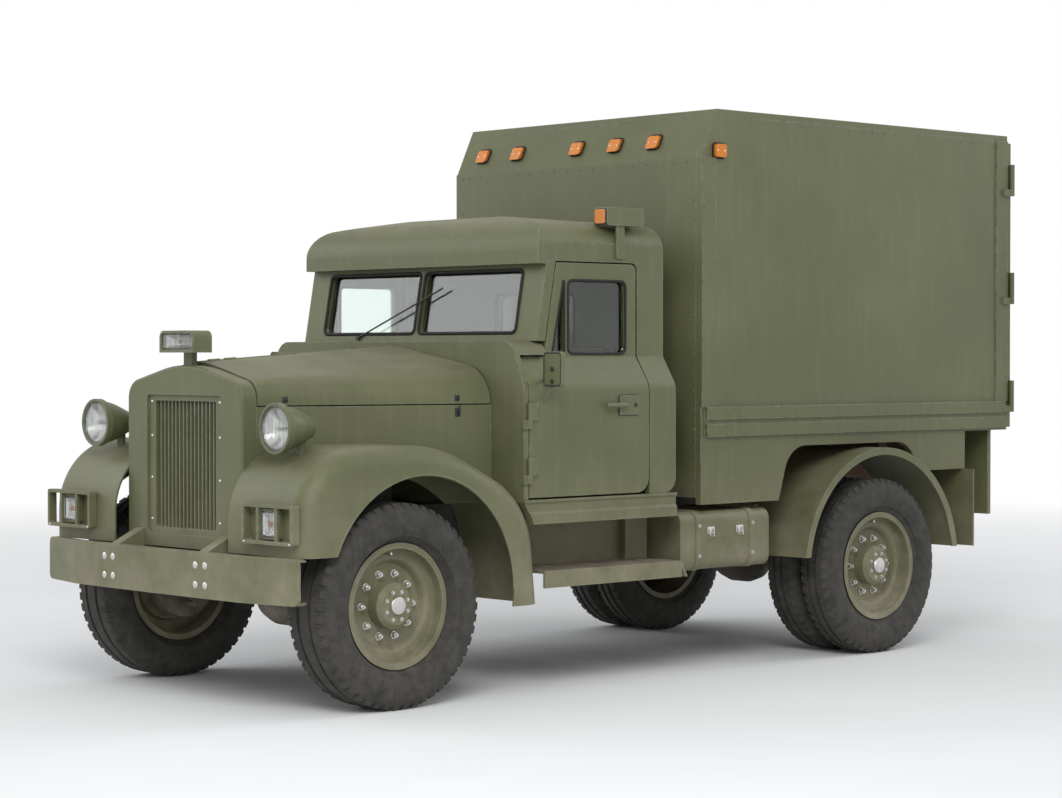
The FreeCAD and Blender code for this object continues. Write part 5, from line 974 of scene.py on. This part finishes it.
def make_side_trim():
    """Ribs on the running boards, and bolts and catches on the side boxes."""
    ribs, fittings = bmesh.new(), bmesh.new()
    for side in (-1, 1):
        for count in range(7):
            x = side * (0.815 + 0.045 * count)
            add_box(ribs, (x - 0.006, at(962), 0.649), (x + 0.006, at(1975), 0.6535), 0.0015, 1)
        for share in (0.2, 0.8):
            for high in (0.66, 0.83):
                add_nut(fittings, (side * 1.058, at(2052 + 738 * share), high), (side, 0, 0), 0.009, 0.008)
        for place in (2300, 2540):
            spot = Vector((side * 1.052, at(place), 0.80))
            add_block(fittings, spot, (0.004, 0.03, 0.022), 0.003)
            bail = ((0.006, -0.018, 0.012), (0.014, -0.018, -0.03), (0.014, 0.018, -0.03),
                    (0.006, 0.018, 0.012))
            add_tube(fittings, [spot + Vector((side * x, y, z)) for x, y, z in bail], 0.0035)
    piece_from(ribs, "board_ribs", "chassis_paint", "chassis")
    piece_from(fittings, "side_box_fittings", "bright_steel", "chassis", 40)


REAR_DOOR_FOOT = 1.332
REAR_DOOR_TALL = 1.811


def make_rear_trim():
    """Seals, hinge bolts and lock handles on the rear doors."""
    for word, side in SIDES:
        made = bmesh.new()
        face = at(5118)
        for share in (0.12, 0.5, 0.88):
            centre = REAR_DOOR_FOOT + REAR_DOOR_TALL * share
            for x in (0.90, 0.96, 1.0):
                for high in (centre - 0.05, centre + 0.05):
                    add_dome(made, (side * x, face, high), (0, 1, 0), 0.008, 0.004, 12, 3)
        piece_from(made, f"rear_hinge_bolts_{word}", "bright_steel", f"rear_door_{word[0]}", 50)
        made = bmesh.new()
        spot = Vector((side * 0.07, face, 2.02))
        lever = [(-0.016, -0.02), (0.016, -0.02), (0.014, 0.16), (0.009, 0.235), (-0.009, 0.235),
                 (-0.014, 0.16)]
        add_plate(made, [spot + Vector((side * (0.014 + u), 0.0005, v)) for u, v in lever], (0, 0.006, 0))
        for high in (1.40, 1.75, 2.75, 3.08):
            add_box(made, (side * 0.07 - 0.03, face - 0.001, high - 0.014),
                    (side * 0.07 + 0.03, face + 0.0065, high + 0.014), 0.003)
        piece_from(made, f"rear_lock_{word}", "black_plastic", f"rear_door_{word[0]}", 45)
        made = bmesh.new()
        inner = at(5077)
        edge = [(side * 0.012, 1.342), (side * 1.02, 1.342), (side * 1.02, 3.133), (side * 0.012, 3.133)]
        add_seal(made, [(x, inner, z) for x, z in edge], 0.0035)
        piece_from(made, f"rear_door_seal_{word}", "seal_rubber", f"rear_door_{word[0]}", 50)


# Inside the cab: each dial's place across, height and radius

DIALS = ((0.36, 1.715, 0.052), (0.58, 1.715, 0.052), (0.47, 1.72, 0.036), (0.25, 1.715, 0.036),
         (0.69, 1.715, 0.036))


def make_dials():
    """Round instruments in front of the driver with their pointers, and a row of switches below them."""
    made, glass, faces = bmesh.new(), bmesh.new(), bmesh.new()
    face = at(920.3)
    for x, high, radius in DIALS:
        rim = [(0, radius), (0.009, radius), (0.009, radius - 0.006), (0.002, radius - 0.008), (0, radius)]
        add_turned(made, rim, (x, face, high), "y", 32)
        add_rod(faces, (x, face - 0.001, high), (x, face + 0.0015, high), radius - 0.006, 32)
        add_rod(glass, (x, face + 0.005, high), (x, face + 0.0065, high), radius - 0.0065, 32)
        pointer = Matrix.Rotation(x * 7, 3, "Y") @ Vector((0, 0, radius * 0.62))
        add_tube(made, [(x, face + 0.0025, high), Vector((x, face + 0.0025, high)) + pointer], 0.0012, 6)
    for count in range(6):
        x = 0.30 + 0.068 * count
        add_rod(made, (x, face, 1.62), (x, face + 0.02, 1.62), 0.007, 12, 0.005, 0.0015)
    bmesh.ops.remove_doubles(made, verts=made.verts, dist=0.00001)
    piece_from(made, "dial_rims", "black_plastic", "chassis", 40)
    piece_from(faces, "dial_faces", "dial_face", "chassis", 40)
    piece_from(glass, "dial_glass", "window_glass", "chassis", 40)


def make_driver_controls():
    """Pedals that hang from the firewall, and the gear and brake levers on the floor."""
    pads, rods = bmesh.new(), bmesh.new()
    wall = at(852)
    for x, wide in ((0.30, 0.034), (0.45, 0.034), (0.60, 0.026)):
        arm = ((0, 1.40), (0.05, 1.36), (0.075, 1.2), (0.11, 1.13))
        add_tube(rods, [(x, wall + reach, high) for reach, high in arm], 0.008, 10)
        add_box(pads, (x - wide, wall + 0.1, 1.085), (x + wide, wall + 0.118, 1.165), 0.006)
    gear = [(0.16, 1100, 1.028), (0.16, 1110, 1.16), (0.175, 1120, 1.36), (0.18, 1130, 1.47)]
    brake = [(0.02, 1100, 1.028), (0.02, 1120, 1.3), (0.02, 1140, 1.40)]
    for run, radius in ((gear, 0.009), (brake, 0.011)):
        add_tube(rods, [(x, at(y), z) for x, y, z in run], radius, 12)
    knob = Vector((0.18, at(1131), 1.485))
    add_dome(pads, knob, (0, 0, 1), 0.024, 0.026, 24, 6)
    add_dome(pads, knob, (0, 0, -1), 0.024, 0.022, 24, 6)
    boot = [(0.0, 0.062), (0.014, 0.055), (0.03, 0.036), (0.055, 0.030), (0.07, 0.016), (0.088, 0.012)]
    boot_verts = add_turned(pads, boot, (0, 0, 0), "y", 32)
    turn = Matrix.Translation((0.16, at(1100), 1.031)) @ Matrix.Rotation(math.radians(90), 4, "X")
    bmesh.ops.transform(pads, matrix=turn, verts=boot_verts)
    piece_from(pads, "pedal_pads", "seal_rubber", "chassis", 45)
    piece_from(rods, "pedal_arms", "black_plastic", "chassis", 45)


# What shows on the engine when a hood lid is open

ENGINE_TOP = 1.430
ENGINE_FRONT = -340
FIRST_PLUG = -230
PLUG_PITCH = 142
FAN_HIGH = 1.240


def make_engine_trim():
    """The head with its cover, plugs and leads, the manifold, the air cleaner and the top hose."""
    head, leads, nuts, pipes = bmesh.new(), bmesh.new(), bmesh.new(), bmesh.new()
    top, plug_x, stud_x, cleaner_x, spark_x = ENGINE_TOP, 0.128, -0.128, -0.20, 0.225
    add_box(head, (-0.17, at(-310), top - 0.002), (0.17, at(560), top + 0.045), 0.008)
    add_box(head, (-0.085, at(-270), top + 0.043), (0.085, at(520), top + 0.125), 0.022, 4)
    add_rod(head, (0, at(-180), top + 0.12), (0, at(-180), top + 0.15), 0.034, 24, 0.03, 0.004)
    add_rod(leads, (cleaner_x, at(180), top + 0.03), (cleaner_x, at(180), top + 0.15), 0.105, 40, 0.105,
            0.012)
    add_rod(nuts, (cleaner_x, at(180), top + 0.149), (cleaner_x, at(180), top + 0.165), 0.012, 6)
    add_rod(leads, (spark_x, at(120), top - 0.002), (spark_x, at(120), top + 0.07), 0.038, 28, 0.034, 0.006)
    for count in range(6):
        reach = FIRST_PLUG + PLUG_PITCH * count
        add_nut(nuts, (plug_x, at(reach), top + 0.045), (0, 0, 1), 0.012, 0.014)
        add_nut(nuts, (stud_x, at(reach), top + 0.045), (0, 0, 1), 0.009, 0.008)
        add_rod(leads, (plug_x, at(reach), top + 0.06), (plug_x, at(reach), top + 0.095), 0.009, 12, 0.007)
        end = Vector((spark_x + 0.02 * math.cos(count), at(120) + 0.02 * math.sin(count), top + 0.068))
        middle = Vector((0.185, at((reach + 120) / 2), top + 0.13))
        add_tube(leads, [(plug_x, at(reach), top + 0.09), (0.14, at(reach), top + 0.115), middle,
                         end + Vector((0, 0, 0.04)), end], 0.004, 8)
        add_tube(pipes, [(-0.165, at(reach), top + 0.018), (-0.20, at(reach), top + 0.012),
                         (-0.222, at(reach), top - 0.012)], 0.021, 12)
    for count in range(3):
        add_nut(nuts, (0, at(-60 + 220 * count), top + 0.124), (0, 0, 1), 0.011, 0.012)
    add_tube(pipes, [(-0.226, at(-260), top - 0.02), (-0.228, at(500), top - 0.02)], 0.030, 16)
    add_tube(leads, [(0.06, at(-432), 1.545), (0.06, at(-400), 1.545), (0.06, at(-350), 1.525),
                     (0.06, at(-300), 1.49), (0.06, at(-280), 1.46)], 0.024, 16)
    piece_from(head, "engine_head", "engine_paint", "chassis", 40)
    piece_from(leads, "engine_leads", "seal_rubber", "chassis", 45)
    piece_from(nuts, "engine_nuts", "bright_steel", "chassis", 35)
    piece_from(pipes, "engine_manifold", "chassis_paint", "chassis", 45)


def make_fan():
    """Six pitched blades and a pulley in front of the engine."""
    made = bmesh.new()
    front = at(ENGINE_FRONT)
    add_rod(made, (0, front - 0.05, FAN_HIGH), (0, front + 0.002, FAN_HIGH), 0.045, 32, 0.045, 0.004)
    add_rod(made, (0, front - 0.022, FAN_HIGH), (0, front - 0.006, FAN_HIGH), 0.075, 40, 0.075, 0.004)
    outline = [(-0.022, 0.030), (0.022, 0.030), (0.045, 0.13), (0.050, 0.205), (-0.050, 0.205),
               (-0.045, 0.13)]
    pitch = Matrix.Rotation(math.radians(24), 4, "Z")
    for count in range(6):
        blade = add_plate(made, [(u, 0, v) for u, v in outline], (0, 0.003, 0))
        turn = Matrix.Rotation(math.tau * count / 6, 4, "Y") @ pitch
        bmesh.ops.transform(made, matrix=Matrix.Translation((0, front - 0.038, FAN_HIGH)) @ turn, verts=blade)
    piece_from(made, "cooling_fan", "engine_paint", "chassis", 40)


# Seats: padded pieces, swollen by a cloth simulation, with channels and piping

SEAT_SPANS = ((0.2775, 0.8495), (-0.8495, 0.2445))
PAD_INSET = 0.016
SWELL_CAP = 0.024
SWELL_FRAMES = 20
SEAM_INSET = 0.06
SEAM_PITCH = 0.095
SEAM_DEPTH = 0.015
SEAM_HALF = 0.012


def pad_form(outline, low_x, high_x):
    """A bevelled block between two places across the cab, from its side outline."""
    made = bmesh.new()
    add_plate(made, [(low_x, y, z) for y, z in outline], (high_x - low_x, 0, 0))
    round_edges(made, list(made.edges), 0.03, 3)
    return made


def swell(piece):
    """Fill a pad with air and keep what moves within the cap."""
    bpy.context.view_layer.objects.active = piece
    remesh = piece.modifiers.new("skin", "REMESH")
    remesh.mode = "VOXEL"
    remesh.voxel_size = 0.009
    apply_modifiers(piece)
    rest = [vert.co.copy() for vert in piece.data.vertices]
    cloth = piece.modifiers.new("air", "CLOTH")
    settings = cloth.settings
    settings.quality = 6
    settings.mass = 0.3
    settings.tension_stiffness = settings.compression_stiffness = 12
    settings.bending_stiffness = 0.6
    settings.use_pressure = True
    settings.uniform_pressure_force = 4.0
    settings.effector_weights.gravity = 0
    cloth.point_cache.frame_start, cloth.point_cache.frame_end = 1, SWELL_FRAMES
    scene = bpy.context.scene
    for number in range(1, SWELL_FRAMES + 1):
        scene.frame_set(number)
    shape = piece.evaluated_get(bpy.context.evaluated_depsgraph_get()).data
    moved = [vert.co.copy() for vert in shape.vertices]
    piece.modifiers.remove(cloth)
    scene.frame_set(1)
    for vert, start, end in zip(piece.data.vertices, rest, moved):
        step = end - start
        vert.co = start + step * min(1.0, SWELL_CAP / max(step.length, 0.000001))


def apply_modifiers(piece):
    """Bake the modifiers into the mesh."""
    shape = piece.evaluated_get(bpy.context.evaluated_depsgraph_get())
    mesh = bpy.data.meshes.new_from_object(shape)
    piece.modifiers.clear()
    piece.data = mesh


def calm(made, factor, passes=1):
    """Even out a mesh."""
    for _ in range(passes):
        bmesh.ops.smooth_vert(made, verts=made.verts, factor=factor, use_axis_x=True, use_axis_y=True,
                              use_axis_z=True)


def sew_channels(piece, low_x, high_x, normal):
    """Press sewn channels that run along the pad into its padded face."""
    span = high_x - low_x - 2 * SEAM_INSET
    count = round(span / SEAM_PITCH)
    seams = [low_x + SEAM_INSET + span * index / count for index in range(count + 1)]
    made = bmesh.new()
    made.from_mesh(piece.data)
    calm(made, 0.5, 10)
    made.normal_update()
    for vert in made.verts:
        facing = max(0.0, vert.normal.dot(normal))
        gap = min(abs(vert.co.x - seam) for seam in seams)
        vert.co -= normal * (SEAM_DEPTH * facing ** 2 * math.exp(-(gap / SEAM_HALF) ** 2))
    calm(made, 0.3)
    for face in made.faces:
        face.smooth = True
    made.to_mesh(piece.data)
    made.free()


def add_piping(made, pad, start, end, low_x, high_x):
    """A welted seam round one face of a pad, laid on its surface."""
    shape = bmesh.new()
    shape.from_mesh(pad.data)
    surface = BVHTree.FromBMesh(shape)
    start, end = Vector((0, *start)), Vector((0, *end))
    length = (end - start).length
    corners = rounded_loop((low_x, 0), (high_x, length), 0.05)
    points = []
    for near, far in zip(corners, corners[1:] + corners[:1]):
        steps = max(1, round(math.dist(near, far) / 0.03))
        for step in range(steps):
            across = near[0] + (far[0] - near[0]) * step / steps
            along = near[1] + (far[1] - near[1]) * step / steps
            point, normal = surface.find_nearest(start.lerp(end, along / length) + Vector((across, 0, 0)))[:2]
            points.append(point + normal * 0.0015)
    add_seal(made, points, 0.0055)
    shape.free()


def make_seats():
    """The two cushions and the two leaning backs, each with piping round its two faces."""
    cushion = [(at(1188), 1.226), (at(1536), 1.226), (at(1536), 1.362), (at(1188), 1.366)]
    back = [(at(1569), 1.226), (at(1690), 1.226), (at(1796), 1.862), (at(1688), 1.862)]
    lean = Vector((0, -0.984, 0.18)).normalized()
    for seat, (low_x, high_x) in enumerate(SEAT_SPANS):
        for name, outline, normal in (("cushion", cushion, Vector((0, 0, 1))), ("back", back, lean)):
            made = pad_form(outline, low_x + PAD_INSET, high_x - PAD_INSET)
            pad = piece_from(made, f"seat_{name}_{seat + 1}", "seat_canvas", smooth=60)
            swell(pad)
            sew_channels(pad, low_x, high_x, normal)
            pad.data.materials.clear()
            pad.data.materials.append(finishes["seat_canvas"])
            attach(pad, "chassis")
            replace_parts(pad, "seats")
            made = bmesh.new()
            pairs = ((3, 2), (0, 1)) if name == "cushion" else ((0, 3), (1, 2))
            for first, second in pairs:
                add_piping(made, pad, outline[first], outline[second], low_x + PAD_INSET, high_x - PAD_INSET)
            piece_from(made, f"seat_piping_{name}_{seat + 1}", "seat_piping", "chassis", 60)


set_camera()
make_finishes()
set_light()
set_floor()
dress_cad()
make_tyres()
make_wheel_nuts()
make_lamp_insides()
make_square_lamps()
make_lamp_gaskets()
make_window_seals()
make_door_trim()
make_box_rivets()
make_front_trim()
make_side_trim()
make_rear_trim()
make_dials()
make_driver_controls()
make_engine_trim()
make_fan()
make_seats()
